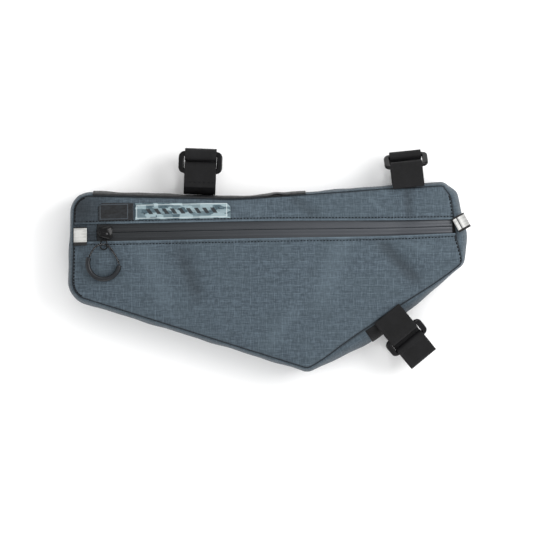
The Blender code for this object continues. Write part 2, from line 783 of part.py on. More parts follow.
def pull_cord(outline):
    route = cord_route(outline)
    lengths = np.concatenate([[0.0], np.cumsum(np.linalg.norm(np.diff(route, axis=0), axis=1))])
    count = int(lengths[-1] / (2.0 * CORD_DIAMETER)) + 2
    even = np.linspace(0.0, lengths[-1], count)
    points = np.stack([np.interp(even, lengths, route[:, axis]) for axis in range(3)], axis=1)
    curve = bpy.data.curves.new("pull_cord", "CURVE")
    curve.dimensions = "3D"
    curve.bevel_depth = CORD_DIAMETER / 2
    curve.bevel_resolution = 2
    curve.use_fill_caps = True
    spline = curve.splines.new("POLY")
    spline.points.add(count - 1)
    for spot, point in zip(spline.points, points):
        spot.co = (*point, 1.0)
    curve.materials.append(make_material(BLACK_WEBBING))
    item = bpy.data.objects.new("pull_cord", curve)
    bpy.context.collection.objects.link(item)
    return item


def pull_grip(outline):
    rings = tube_rings(grip_path(outline, 15), GRIP_TUBE / 2, GRIP_TUBE / 2, 10, False)
    return loft_solid("pull_grip", rings, RUBBER)


# Straps

def strap_frame(outline, share, side, direction):
    x = along_body(share)
    place = outline.top_at(x) if side == "top" else outline.bottom_at(x)
    base = outline.point(place)
    angle = math.radians(direction)
    out = np.array([math.cos(angle), math.sin(angle)])
    normal = outline.normal(place)
    lean = abs(out[0] * normal[1] - out[1] * normal[0])
    return place, base, out, lean * WEBBING_WIDTH / 2


def round_bar(centre, reach, shift, start, end, count):
    # Points of webbing that turns round a bar of the ring in an oval, from one angle to the other.
    angles = np.radians(np.linspace(start, end, count))
    return [(centre[0] + shift + reach * math.cos(a), centre[1] + BAR_TURN * math.sin(a)) for a in angles]


def strap_ring(name, frame, centre, tilt):
    base, out = frame
    across = np.array([out[1], -out[0]])
    flat = rounded_rectangle(RING_WIDTH - RING_BAR, RING_HEIGHT - RING_BAR, 0.0036, 5)
    lean = math.radians(tilt)
    path = []
    for sideways, up in flat:
        spot = base + across * sideways + out * (centre[0] + up * math.cos(lean))
        path.append((spot[0], spot[1], centre[1] - up * math.sin(lean)))
    path = np.array(path)
    face = np.array([out[0] * math.sin(lean), out[1] * math.sin(lean), math.cos(lean)])
    ahead = np.roll(path, -1, axis=0) - np.roll(path, 1, axis=0)
    ahead /= np.linalg.norm(ahead, axis=1)[:, None]
    inward = np.cross(face, ahead)
    turns = (np.arange(8) + 0.5) * math.pi / 4
    scale = 1.0 / math.cos(math.pi / 8)
    wide = RING_BAR / 2 * np.cos(turns) * scale
    tall = RING_THICKNESS / 2 * np.sin(turns) * scale
    rings = path[:, None] + inward[:, None] * wide[None, :, None] + face[None, None] * tall[None, :, None]
    return loft_solid(name, rings, BLACK_PLASTIC, closed=True, sharp_angle=60.0)


def strap_loop_path(crest, bar, foot, reach, shift):
    # Up from the foot sewn on the wall, round behind the tube's place, over the bar and down outside.
    t = WEBBING_THICKNESS
    inner = crest - 1.6 * t - GAP
    path = [(foot + rise, depth * BODY_DEPTH) for rise, depth in LOOP_FOOT]
    path += [(share * inner, depth * BODY_DEPTH) for share, depth in LOOP_BACK]
    if bar[1] > HIGH_BAR * BODY_DEPTH:
        path.append((inner - 0.0002, bar[1] - 0.0090))
    path += round_bar(bar, reach, shift, -85.0, -340.0, 8)
    outer = max(crest - 0.5 * t, bar[0] + shift + reach)
    path += [(outer - share * crest, depth * BODY_DEPTH) for share, depth in LOOP_TAIL]
    return path


def strap_holder_path(bar, hem, foot, sewn_to_seam, reach, shift):
    # From the hem on the front, over the bar and back under itself to its foot on the wall.
    t = WEBBING_THICKNESS
    path = [hem, ((hem[0] + bar[0]) / 2, (hem[1] + bar[1] + BAR_TURN) / 2 + GAP)]
    path += round_bar(bar, reach, shift, 95.0, -95.0, 6)
    if sewn_to_seam:
        path += [(bar[0] - 2.0 * RING_BAR / 2, bar[1] - 1.9 * BAR_TURN), (foot + 0.0022, 0.719 * BODY_DEPTH)]
    else:
        behind = min(hem[1], bar[1] + 2.0 * t) - 2.3 * t
        path += [(bar[0] - 4.0 * t, behind - 0.4 * t), (max(hem[0], 5.3 * t), behind - 0.7 * t)]
        path += [(foot + 0.0024, 0.686 * BODY_DEPTH)]
    path += [(foot + rise, depth * BODY_DEPTH) for rise, depth in HOLDER_FOOT]
    return path


def strap_set(outline, row):
    name, share, side, direction, crest, ring_out, hem_out, ring_depth, hem_depth, tilt, carrier = row
    place, base, out, lean = strap_frame(outline, share, side, direction)
    frame = (base, out)
    under = {"gusset": 0.0, "band": GAP + BAND_THICKNESS, "base": GAP + BAND_THICKNESS}[carrier]
    foot = under + GAP + lean + WEBBING_THICKNESS / 2
    reach = (RING_HEIGHT - RING_BAR) / 2
    lean_angle = math.radians(tilt)
    offset = np.array([reach * math.cos(lean_angle), -reach * math.sin(lean_angle)])
    centre = np.array([ring_out, ring_depth * BODY_DEPTH])
    hem = (hem_out, hem_depth * BODY_DEPTH)
    loop_fold, loop_shift, holder_fold, holder_shift = FOLDS[name]
    loop = smooth_path(strap_loop_path(crest, centre + offset, foot, loop_fold, loop_shift), 2)
    sewn = carrier == "base"
    holder = smooth_path(strap_holder_path(centre - offset, hem, foot, sewn, holder_fold, holder_shift), 2)
    ribbon(name + "_loop", frame, loop, WEBBING_WIDTH, WEBBING_THICKNESS, BLACK_WEBBING)
    ribbon(name + "_holder", frame, holder, WEBBING_WIDTH, WEBBING_THICKNESS, BLACK_WEBBING)
    strap_ring(name + "_ring", frame, centre, tilt)
    if carrier == "base":
        places = np.linspace(place - 0.68 * BASE_WIDTH, place + 0.36 * BASE_WIDTH, 5)
        turns = np.array([84.0, 74.0, 58.0, 38.0, 0.0, -38.0])
        lifts = np.full((len(places), len(turns)), GAP)
        wall_strip(outline, name + "_strap_base", places, turns, lifts, BAND_THICKNESS, BLACK_WEBBING)


def build_bag():
    clear_scene()
    outline = Outline()
    front_panel(outline, "front_upper_panel", 1.0, "top_left", "top_right", 24, 4)
    front_panel(outline, "front_lower_panel", -1.0, "bottom_left", "right_low", 24, 9)
    back_panel(outline)
    left_end = outline.corner_at["top_left"] + outline.around - 0.004
    right_end = outline.corner_at["top_right"] + 0.002
    gusset(outline, "side_gusset", left_end - outline.around + GAP / 2, right_end - GAP / 2)
    gusset(outline, "top_gusset", right_end + GAP / 2, left_end - GAP / 2)
    top_band(outline)
    zip_tape(outline, "zip_tape_upper", 1.0)
    zip_tape(outline, "zip_tape_lower", -1.0)
    zip_trim(outline)
    dark_end = along_body(LABEL_SPLIT - LABEL_SPLIT_GAP / 2)
    light_start = along_body(LABEL_SPLIT + LABEL_SPLIT_GAP / 2)
    label(outline, "label_dark", along_body(LABEL_START), dark_end, ("start",), LABEL_DARK)
    label(outline, "label_light", light_start, along_body(LABEL_END), ("end",), LABEL_LIGHT)
    right_tab(outline)
    slider(outline)
    pull_link(outline)
    pull_cord(outline)
    pull_grip(outline)
    for row in STRAPS:
        strap_set(outline, row)


build_bag()
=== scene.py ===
# Bicycle frame bag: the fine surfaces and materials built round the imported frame.
# Metres; X runs along the bag, Y towards its top edge, Z out of its front face.

import math

import bpy
import numpy as np
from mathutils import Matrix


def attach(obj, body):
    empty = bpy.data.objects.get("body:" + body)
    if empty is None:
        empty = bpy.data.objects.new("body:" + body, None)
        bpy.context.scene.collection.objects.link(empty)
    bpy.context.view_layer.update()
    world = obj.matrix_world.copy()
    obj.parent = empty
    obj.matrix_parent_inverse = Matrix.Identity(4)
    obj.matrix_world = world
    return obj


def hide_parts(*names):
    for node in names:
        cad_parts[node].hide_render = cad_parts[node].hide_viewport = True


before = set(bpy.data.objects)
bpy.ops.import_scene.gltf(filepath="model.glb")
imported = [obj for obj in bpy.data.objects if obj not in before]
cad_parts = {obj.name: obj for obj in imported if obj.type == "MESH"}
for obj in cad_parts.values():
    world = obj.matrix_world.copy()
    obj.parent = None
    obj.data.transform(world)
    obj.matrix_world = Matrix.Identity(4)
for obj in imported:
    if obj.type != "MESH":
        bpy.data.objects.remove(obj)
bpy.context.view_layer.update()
print("stage: frame loaded")

# Body, the same sizes as the CAD
body = {
    "length": 0.381, "height": 0.181, "depth": 0.0605, "wall": 0.0016, "gap": 0.0003,
    "crown": 0.0058, "crownReach": 0.020, "seamRoll": 0.0009, "rollReach": 0.0014,
    "seamAllowance": 0.003, "backSeamHeight": 0.0045, "backSeamInset": 0.0048, "backCurveReach": 0.012,
}
gap = body["gap"]
wall = body["wall"]

# name, share of length, share of height, corner radius, front seam inset
corners = (
    ("topLeft", 0.013, 0.948, 0.019, 0.0038),
    ("bottomLeft", 0.004, 0.388, 0.021, 0.0048),
    ("tip", 0.601, 0.000, 0.013, 0.0040),
    ("lowerMiddle", 0.757, 0.150, 0.140, 0.0134),
    ("rightLow", 0.989, 0.565, 0.013, 0.0026),
    ("rightMiddle", 1.000, 0.715, 0.035, 0.0110),
    ("shoulder", 0.9715, 0.946, 0.011, 0.0072),
    ("topRight", 0.939, 1.000, 0.009, 0.0042),
    ("topKink", 0.776, 0.976, 0.140, 0.0034),
    ("topSag", 0.421, 0.916, 0.250, 0.0024),
)

# share of length, share of height of the zip's line, half width of the slot
zipRows = np.array((
    (0.00, 0.7275, 0.0080), (0.25, 0.7383, 0.0081), (0.50, 0.7482, 0.0080),
    (0.83, 0.7566, 0.0071), (1.00, 0.7675, 0.0062),
))

# share of length, share of height, depth, reach along x, reach along y
dents = (
    (0.30, 0.590, 0.0016, 0.040, 0.020), (0.58, 0.875, 0.0010, 0.030, 0.008),
    (0.83, 0.640, 0.0020, 0.012, 0.030), (0.62, 0.300, -0.0012, 0.060, 0.030),
    (0.14, 0.560, -0.0006, 0.030, 0.025),
)


# Camera: straight down on the front face, as the photo looks at it

def makeCamera():
    camera = bpy.data.objects.new("photoCamera", bpy.data.cameras.new("photoCamera"))
    bpy.context.scene.collection.objects.link(camera)
    shownWidth = 0.5037
    distance = 9.0
    camera.data.sensor_width = 36.0
    camera.data.lens = 36.0 * distance / shownWidth
    camera.data.clip_start = 1.0
    camera.data.clip_end = 30.0
    camera.data.dof.use_dof = False
    camera.location = (-0.0004, 0.0099, distance + 0.055)
    camera.rotation_euler = (0.0, 0.0, 0.0)
    bpy.context.scene.camera = camera


makeCamera()


# Paths and the body's outline

def alongBody(share):
    return (np.asarray(share, dtype=float) - 0.5) * body["length"]


def upBody(share):
    return (np.asarray(share, dtype=float) - 0.5) * body["height"]


def smoothPath(points, steps):
    # Cubic curve through every point, its slopes weighted by the chords beside them.
    points = np.asarray(points, dtype=float)
    moves = np.diff(points, axis=0)
    spans = np.linalg.norm(moves, axis=1)[:, None]
    slopes = moves / spans
    inner = (spans[1:] * slopes[:-1] + spans[:-1] * slopes[1:]) / (spans[:-1] + spans[1:])
    slopes = np.vstack([slopes[:1], inner, slopes[-1:]])
    s = np.linspace(0.0, 1.0, steps, endpoint=False)[None, :, None]
    a, b = points[:-1, None], points[1:, None]
    rise, fall = (spans * slopes[:-1])[:, None], (spans * slopes[1:])[:, None]
    path = (1 + 2 * s) * (1 - s) ** 2 * a + s * (1 - s) ** 2 * rise + s ** 2 * (3 - 2 * s) * b - s ** 2 * (1 - s) * fall
    return np.vstack([path.reshape(-1, points.shape[1]), points[-1:]])


def pathLengths(path):
    return np.concatenate([[0.0], np.cumsum(np.linalg.norm(np.diff(path, axis=0), axis=1))])


def evenPath(path, spacing):
    lengths = pathLengths(path)
    even = np.linspace(0.0, lengths[-1], max(3, int(round(lengths[-1] / spacing)) + 1))
    return np.stack([np.interp(even, lengths, path[:, axis]) for axis in range(path.shape[1])], axis=1)


def roundedOutline():
    # Straight edges joined by arcs, anticlockwise; also the place of each arc's middle.
    table = np.array([row[1:] for row in corners])
    spots = np.stack([alongBody(table[:, 0]), upBody(table[:, 1])], axis=1)
    path, middles = [], []
    for i, spot in enumerate(spots):
        inward = spot - spots[i - 1]
        outward = spots[(i + 1) % len(spots)] - spot
        inward /= np.linalg.norm(inward)
        outward /= np.linalg.norm(outward)
        turn = math.atan2(inward[0] * outward[1] - inward[1] * outward[0], float(np.dot(inward, outward)))
        reach = table[i, 2] * math.tan(abs(turn) / 2)
        side = np.array([-inward[1], inward[0]]) * math.copysign(table[i, 2], turn)
        centre = spot - inward * reach + side
        a = np.linspace(0.0, turn, 25)
        middles.append(len(path) * 25 + 12)
        arc = np.stack([side[0] * np.cos(a) - side[1] * np.sin(a), side[0] * np.sin(a) + side[1] * np.cos(a)], axis=1)
        path.append(centre - arc)
    closed = np.vstack(path + [path[0][:1]])
    lengths = pathLengths(closed)
    return closed, lengths, {row[0]: lengths[middles[i]] for i, row in enumerate(corners)}


outlinePath, outlineLengths, cornerAt = roundedOutline()
around = outlineLengths[-1]
insetStarts = np.array([cornerAt["topSag"] - around] + [cornerAt[row[0]] for row in corners] + [cornerAt["topLeft"] + around])
insetValues = np.array([corners[-1][4]] + [row[4] for row in corners] + [corners[0][4]])


def outlinePoint(place):
    place = np.mod(place, around)
    x = np.interp(place, outlineLengths, outlinePath[:, 0])
    y = np.interp(place, outlineLengths, outlinePath[:, 1])
    return np.stack([x, y], axis=-1)


def outlineNormal(place):
    ahead = outlinePoint(place + 0.0012) - outlinePoint(place - 0.0012)
    ahead /= np.linalg.norm(ahead, axis=-1)[..., None]
    return np.stack([ahead[..., 1], -ahead[..., 0]], axis=-1)


def seamInset(place, back=False):
    place = np.mod(place, around)
    if back:
        return np.full_like(place, body["backSeamInset"])
    index = np.clip(np.searchsorted(insetStarts, place, side="right") - 1, 0, len(insetStarts) - 2)
    share = (place - insetStarts[index]) / (insetStarts[index + 1] - insetStarts[index])
    ease = (1.0 - np.cos(math.pi * share)) / 2
    return insetValues[index] + (insetValues[index + 1] - insetValues[index]) * ease


def seamPoint(place, back=False, outward=0.0):
    place = np.asarray(place, dtype=float)
    return outlinePoint(place) + outlineNormal(place) * (outward - seamInset(place, back))[..., None]


def topAt(x):
    places = np.linspace(cornerAt["topRight"], around + cornerAt["topLeft"], 1200)
    return float(np.interp(-x, -outlinePoint(places)[:, 0], places))


def bottomAt(x):
    places = np.linspace(cornerAt["tip"], cornerAt["rightLow"], 1200)
    return float(np.interp(x, outlinePoint(places)[:, 0], places))


fine = np.linspace(0.0, around, 1600, endpoint=False)
frontSeam = seamPoint(fine)
backSeam = seamPoint(fine, back=True)


def nearSeam(seam, spots):
    # Distance to the seam and the place on it, for any grid of flat points.
    flat = spots.reshape(-1, 2)
    away, place = np.empty(len(flat)), np.empty(len(flat))
    for start in range(0, len(flat), 6000):
        part = flat[start:start + 6000]
        square = ((part[:, None, :] - seam[None, :, :]) ** 2).sum(axis=2)
        nearest = square.argmin(axis=1)
        away[start:start + 6000] = np.sqrt(square[np.arange(len(part)), nearest])
        place[start:start + 6000] = fine[nearest]
    return away.reshape(spots.shape[:-1]), place.reshape(spots.shape[:-1])


zipPath = smoothPath(np.stack([alongBody(zipRows[:, 0]), upBody(zipRows[:, 1]), zipRows[:, 2]], axis=1), 24)


def zipLine(x):
    return np.interp(x, zipPath[:, 0], zipPath[:, 1]), np.interp(x, zipPath[:, 0], zipPath[:, 2])


def plainHeight(spots, away):
    # Seam height, plus the roll out of the seam, plus the swell of the panel, less the dents.
    height = body["depth"] - body["crown"] - body["seamRoll"] * np.exp(-away / body["rollReach"])
    fade = 1.0 - np.exp(-away / body["crownReach"])
    height = height + body["crown"] * fade
    for shareX, shareY, depth, reachX, reachY in dents:
        across = (spots[..., 0] - alongBody(shareX)) / reachX
        up = (spots[..., 1] - upBody(shareY)) / reachY
        height = height - depth * fade * np.exp(-across ** 2 - up ** 2)
    return height


# Soft folds of the front: start x, y, end x, y, half width, height, all in metres
frontFolds = (
    (0.1005, 0.0870, 0.1120, 0.0800, 0.0022, 0.0007),
    (0.0990, 0.0720, 0.1070, 0.0640, 0.0020, 0.0006),
    (0.1330, 0.0780, 0.1340, 0.0640, 0.0045, -0.0018),
    (0.1130, 0.0270, 0.1370, 0.0020, 0.0065, -0.0021),
    (0.1300, 0.0330, 0.1500, 0.0250, 0.0040, 0.0006),
    (-0.0800, 0.0180, -0.0690, -0.0080, 0.0085, -0.0017),
    (-0.1180, 0.0300, -0.0980, -0.0180, 0.0090, 0.0006),
    (0.0280, 0.0720, 0.0420, 0.0620, 0.0050, -0.0012),
    (-0.0240, 0.0690, -0.0100, 0.0610, 0.0045, 0.0005),
    (0.0050, -0.0600, 0.0230, -0.0350, 0.0060, 0.0006),
    (0.0700, 0.0330, 0.0560, -0.0080, 0.0110, 0.0007),
)


def foldHeight(spots, folds):
    # Each fold is a bell across a straight line, fading out past both its ends.
    height = np.zeros(spots.shape[:-1])
    for x0, y0, x1, y1, width, rise in folds:
        along = np.array([x1 - x0, y1 - y0])
        length = np.linalg.norm(along)
        along = along / length
        dx, dy = spots[..., 0] - x0, spots[..., 1] - y0
        down = dx * along[0] + dy * along[1]
        across = -dx * along[1] + dy * along[0]
        past = np.maximum(np.maximum(-down, down - length), 0.0)
        height = height + rise * np.exp(-(across / width) ** 2 - (past / (1.6 * width)) ** 2)
    return height


def drape(spots, away, place):
    # Slow waves of the cloth, its folds, and small puckers that the seam's thread pulls in.
    x, y = spots[..., 0], spots[..., 1]
    fade = 1.0 - np.exp(-away / 0.012)
    waves = 0.00026 * np.sin(2 * math.pi * (x / 0.079 + y / 0.120) + 0.7)
    waves += 0.00022 * np.sin(2 * math.pi * (y / 0.061 - x / 0.150) + 2.1)
    waves += 0.00012 * np.sin(2 * math.pi * (x / 0.033 - y / 0.047) + 4.0) * np.sin(2 * math.pi * y / 0.090)
    pucker = np.sin(2 * math.pi * place / 0.0083 + 1.5 * np.sin(2 * math.pi * place / 0.047))
    pucker = 0.00020 * pucker * np.exp(-away / 0.0045) * (1.0 - np.exp(-away / 0.0010))
    return fade * (waves + foldHeight(spots, frontFolds)) + pucker


lip = {"raise": 0.0005, "reach": 0.003, "stitchUpper": 0.0028, "stitchLower": 0.0033, "pitch": 0.0031}


def lipHeight(spots):
    # Folded edge beside the zip: raised, rounded between edge and stitches, drawn in at the stitches.
    middle, half = zipLine(spots[..., 0])
    side = spots[..., 1] - middle
    away = np.abs(side) - half
    stitch = np.where(side > 0, lip["stitchUpper"], lip["stitchLower"])
    height = lip["raise"] * np.exp(-(away / lip["reach"]) ** 2)
    height = height + 0.00030 * np.exp(-((away - 0.45 * stitch) / 0.0010) ** 2)
    height = height - 0.00042 * np.exp(-((away - stitch) / 0.00055) ** 2)
    ripple = np.sin(2 * math.pi * spots[..., 0] / lip["pitch"])
    return height + 0.00010 * ripple * np.exp(-((away - stitch) / 0.0013) ** 2)


def frontSurface(spots):
    # The cloth's outer face: every small piece on the front lies on this.
    away, place = nearSeam(frontSeam, spots)
    return plainHeight(spots, away) + drape(spots, away, place)


def lifted(spots, height):
    return np.concatenate([spots, np.broadcast_to(height, spots.shape[:-1])[..., None]], axis=-1)


# Meshes

def linear(hexColour):
    # sRGB hex colour as linear red, green, blue and alpha
    parts = np.array([int(hexColour[i:i + 2], 16) for i in (1, 3, 5)]) / 255.0
    straight = np.where(parts <= 0.04045, parts / 12.92, ((parts + 0.055) / 1.055) ** 2.4)
    return (*[float(part) for part in straight], 1.0)


def makePiece(name, points, faces, pairs, material, nodes=(), smoothAngle=50.0, toneMark=None):
    # Faces are arrays of point numbers, pairs the matching UV pairs in metres; the mark given last is a number for
    # each point: above 0 paler, below 0 darker. It paints highlight and shade onto the cloth, with some real rubbing at
    # the zip's folded edge.
    points = np.asarray(points, dtype=float)
    first, second, third = points[faces[0][:, 0]], points[faces[0][:, 1]], points[faces[0][:, 2]]
    volume = np.einsum("ij,ij->i", first, np.cross(second, third)).sum()
    fourth = points[faces[0][:, 3]]
    volume += np.einsum("ij,ij->i", first, np.cross(third, fourth)).sum()
    if volume < 0.0:
        faces = [group[:, ::-1] for group in faces]
        pairs = [group[:, ::-1] for group in pairs]
    mesh = bpy.data.meshes.new(name)
    mesh.from_pydata(points.tolist(), [], [face for group in faces for face in group.tolist()])
    layer = mesh.uv_layers.new(name="cloth")
    layer.data.foreach_set("uv", np.concatenate([group.reshape(-1) for group in pairs]).astype(np.float32))
    if toneMark is not None:
        mark = mesh.attributes.new(name="toneMark", type="FLOAT", domain="POINT")
        mark.data.foreach_set("value", toneMark.astype(np.float32))
    mesh.update()
    mesh.shade_smooth()
    mesh.set_sharp_from_angle(angle=math.radians(smoothAngle))
    mesh.materials.append(material)
    piece = bpy.data.objects.new(name, mesh)
    bpy.context.scene.collection.objects.link(piece)
    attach(piece, "root")
    if nodes:
        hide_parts(*nodes)
    return piece


def gridFaces(index, uv):
    # Quads of a grid of point numbers, with their UV pairs from a grid of the same shape.
    faces = np.stack([index[:-1, :-1], index[1:, :-1], index[1:, 1:], index[:-1, 1:]], axis=-1).reshape(-1, 4)
    pairs = np.stack([uv[:-1, :-1], uv[1:, :-1], uv[1:, 1:], uv[:-1, 1:]], axis=2).reshape(-1, 4, 2)
    return faces, pairs


def sheetPiece(name, centre, normal, half, uv, material, nodes=(), smoothAngle=50.0, toneMark=None):
    # A closed sheet: its two faces are half a thickness off the middle and meet along the rim.
    columns, rows = centre.shape[:2]
    half = half.copy()
    half[0], half[-1], half[:, 0], half[:, -1] = 0.0, 0.0, 0.0, 0.0
    over = centre + normal * half[..., None]
    under = centre - normal * half[..., None]
    top = np.arange(columns * rows).reshape(columns, rows)
    bottom = top.copy()
    bottom[1:-1, 1:-1] = columns * rows + np.arange((columns - 2) * (rows - 2)).reshape(columns - 2, rows - 2)
    points = np.concatenate([over.reshape(-1, 3), under[1:-1, 1:-1].reshape(-1, 3)])
    topFaces, topPairs = gridFaces(top, uv)
    bottomFaces, bottomPairs = gridFaces(bottom, uv)
    faces = [topFaces, bottomFaces[:, ::-1]]
    pairs = [topPairs, bottomPairs[:, ::-1]]
    if toneMark is not None:
        toneMark = np.concatenate([toneMark.reshape(-1), toneMark[1:-1, 1:-1].reshape(-1)])
    return makePiece(name, points, faces, pairs, material, nodes, smoothAngle, toneMark)


def gridNormal(grid):
    along, across = np.gradient(grid, axis=0), np.gradient(grid, axis=1)
    normal = np.cross(along, across)
    return normal / np.linalg.norm(normal, axis=-1)[..., None]


def rimHalf(columns, rows, thickness, reach):
    # Half thickness that rounds down to nothing over this reach at each rim; inputs are distances.
    near = np.minimum(np.minimum(columns, columns[-1] - columns)[:, None], np.minimum(rows, rows[-1] - rows)[None, :])
    near = np.clip(near / reach, 0.0, 1.0)
    return thickness / 2 * np.sqrt(1.0 - (1.0 - near) ** 2)


def loftPiece(name, rings, material, nodes=(), closed=False, smoothAngle=50.0, pitch=None):
    # Closed rings joined in a row, with end caps, or joined into a loop.
    count, sides = rings.shape[:2]
    index = np.arange(count * sides).reshape(count, sides)
    index = np.concatenate([index, index[:, :1]], axis=1)
    if closed:
        index = np.concatenate([index, index[:1]], axis=0)
    middle = rings.mean(axis=1)
    if closed:
        middle = np.vstack([middle, middle[:1]])
    u = pathLengths(middle)
    span = np.linalg.norm(np.diff(rings[count // 2], axis=0), axis=1).sum() * sides / (sides - 1)
    v = np.linspace(0.0, pitch or span, sides + 1)
    uv = np.stack(np.meshgrid(u, v, indexing="ij"), axis=-1)
    faces, pairs = gridFaces(index, uv)
    groups, corners = [faces], [pairs]
    if not closed:
        groups += [np.arange(sides)[None, :], np.arange((count - 1) * sides, count * sides)[None, ::-1]]
        corners += [np.zeros((1, sides, 2)), np.full((1, sides, 2), u[-1])]
    return makePiece(name, rings.reshape(-1, 3), groups, corners, material, nodes, smoothAngle)


def tubeRings(path, profile, closed, up=(0.0, 0.0, 1.0)):
    # A cross profile (across, up) carried along a path and kept upright.
    if closed:
        ahead = np.roll(path, -1, axis=0) - np.roll(path, 1, axis=0)
    else:
        ahead = np.gradient(path, axis=0)
    ahead /= np.linalg.norm(ahead, axis=1)[:, None]
    across = np.cross(ahead, np.asarray(up, dtype=float))
    across /= np.linalg.norm(across, axis=1)[:, None]
    rise = np.cross(across, ahead)
    return path[:, None] + across[:, None] * profile[..., :1] + rise[:, None] * profile[..., 1:]


def ovalProfile(wide, tall, power, sides):
    # Superellipse: power 2 is an ellipse, higher is squarer.
    a = (np.arange(sides) + 0.5) * 2 * math.pi / sides
    x = wide / 2 * np.sign(np.cos(a)) * np.abs(np.cos(a)) ** (2.0 / power)
    y = tall / 2 * np.sign(np.sin(a)) * np.abs(np.sin(a)) ** (2.0 / power)
    return np.stack([x, y], axis=1)


def roundedEnds(profile, distances, length, radius):
    # The profile at each distance, drawn in at both ends like a rounded cap.
    near = np.clip(np.minimum(distances, length - distances) / radius, 0.0, 1.0)
    scale = np.sqrt(1.0 - (1.0 - near) ** 2)
    return profile[None] * np.maximum(scale, 0.06)[:, None, None]


def stitchRow(name, centres, ahead, up, stitch, material):
    # One small spindle for each stitch: its length runs along ahead, its back stands along up.
    u = np.linspace(0.0, math.pi, 7)
    a = np.linspace(0.0, 2 * math.pi, 8, endpoint=False)
    along = -np.cos(u)[:, None] * np.ones(8) * stitch["length"] / 2
    wide = np.sin(u)[:, None] ** 0.7 * np.cos(a)[None] * stitch["width"] / 2
    tall = np.sin(u)[:, None] ** 0.7 * np.sin(a)[None] * stitch["height"] / 2
    side = np.cross(up, ahead)
    inner = slice(1, 6)
    shape = [part[inner].reshape(-1) for part in (along, wide, tall)]
    stitchGrid = (
        centres[:, None] + ahead[:, None] * shape[0][None, :, None]
        + side[:, None] * shape[1][None, :, None] + up[:, None] * shape[2][None, :, None]
    )
    count = len(centres)
    points = stitchGrid.reshape(-1, 3)
    index = np.arange(40).reshape(5, 8)
    index = np.concatenate([index, index[:, :1]], axis=1)
    uv = np.stack(np.meshgrid(np.linspace(0, stitch["length"], 5), np.linspace(0, 0.001, 9), indexing="ij"), axis=-1)
    faces, pairs = gridFaces(index, uv)
    shift = (np.arange(count) * 40)[:, None, None]
    quads = (faces[None] + shift).reshape(-1, 4)
    caps = np.stack([np.arange(8), np.arange(32, 40)[::-1]])
    caps = (caps[None] + shift).reshape(-1, 8)
    pairs = np.tile(pairs, (count, 1, 1))
    groups = [quads, caps]
    return makePiece(name, points, groups, [pairs, np.zeros((len(caps), 8, 2))], material)


# Materials

def addNode(tree, kind, inputs=None, **settings):
    item = tree.nodes.new(kind)
    for key, value in settings.items():
        setattr(item, key, value)
    for key, value in (inputs or {}).items():
        if isinstance(value, bpy.types.NodeSocket):
            tree.links.new(value, item.inputs[key])
        else:
            item.inputs[key].default_value = value
    return item


def calc(tree, operation, *values):
    return addNode(tree, "ShaderNodeMath", dict(enumerate(values)), operation=operation).outputs[0]


def startMaterial(name, roughness, ior=1.5, metallic=0.0, sheen=0.0, gloss=0.5):
    material = bpy.data.materials.new(name)
    material.use_nodes = True
    tree = material.node_tree
    shader = tree.nodes["Principled BSDF"]
    shader.inputs["Roughness"].default_value = roughness
    shader.inputs["IOR"].default_value = ior
    shader.inputs["Metallic"].default_value = metallic
    shader.inputs["Sheen Weight"].default_value = sheen
    shader.inputs["Sheen Roughness"].default_value = 0.5
    shader.inputs["Specular IOR Level"].default_value = gloss
    return material, tree, shader


def clothAxes(tree):
    # The UV map is in metres; these are the two distances in millimetres.
    uv = addNode(tree, "ShaderNodeUVMap", uv_map="cloth").outputs["UV"]
    parts = addNode(tree, "ShaderNodeSeparateXYZ", {"Vector": uv})
    return calc(tree, "MULTIPLY", parts.outputs["X"], 1000.0), calc(tree, "MULTIPLY", parts.outputs["Y"], 1000.0)


def stretchedNoise(tree, u, v, perU, perV, detail=2.0, shift=0.0):
    # Noise with its own number of cells per millimetre along each axis, from 0 to 1.
    x = calc(tree, "MULTIPLY_ADD", u, perU, shift)
    y = calc(tree, "MULTIPLY_ADD", v, perV, shift * 0.7)
    place = addNode(tree, "ShaderNodeCombineXYZ", {"X": x, "Y": y, "Z": shift}).outputs[0]
    return addNode(tree, "ShaderNodeTexNoise", {"Vector": place, "Scale": 1.0, "Detail": detail}).outputs["Fac"]


def mixColour(tree, share, first, second, blend="MIX"):
    item = addNode(tree, "ShaderNodeMix", data_type="RGBA", blend_type=blend)
    for key, value in ((0, share), (6, first), (7, second)):
        if isinstance(value, bpy.types.NodeSocket):
            tree.links.new(value, item.inputs[key])
        else:
            item.inputs[key].default_value = value
    return item.outputs[2]


def mapRange(tree, value, low, high, toLow=0.0, toHigh=1.0, smooth=True):
    inputs = {"Value": value, "From Min": low, "From Max": high, "To Min": toLow, "To Max": toHigh}
    kind = "SMOOTHSTEP" if smooth else "LINEAR"
    return addNode(tree, "ShaderNodeMapRange", inputs, interpolation_type=kind).outputs["Result"]


def wave(tree, value, period, shift=0.0):
    # Sine of a distance in millimetres, from -1 to 1.
    return calc(tree, "SINE", calc(tree, "MULTIPLY_ADD", value, 2 * math.pi / period, shift))


def gridLine(tree, value, period, width, wobble):
    # 1 on a line every period, 0 between: distance to the nearest line against the line's width.
    moved = calc(tree, "ADD", value, wobble)
    near = calc(tree, "PINGPONG", moved, period / 2)
    return mapRange(tree, near, width * 0.25, width, 1.0, 0.0)


def addBump(tree, shader, height, distance, strength=1.0):
    bump = addNode(tree, "ShaderNodeBump", {"Height": height, "Distance": distance, "Strength": strength})
    tree.links.new(bump.outputs["Normal"], shader.inputs["Normal"])


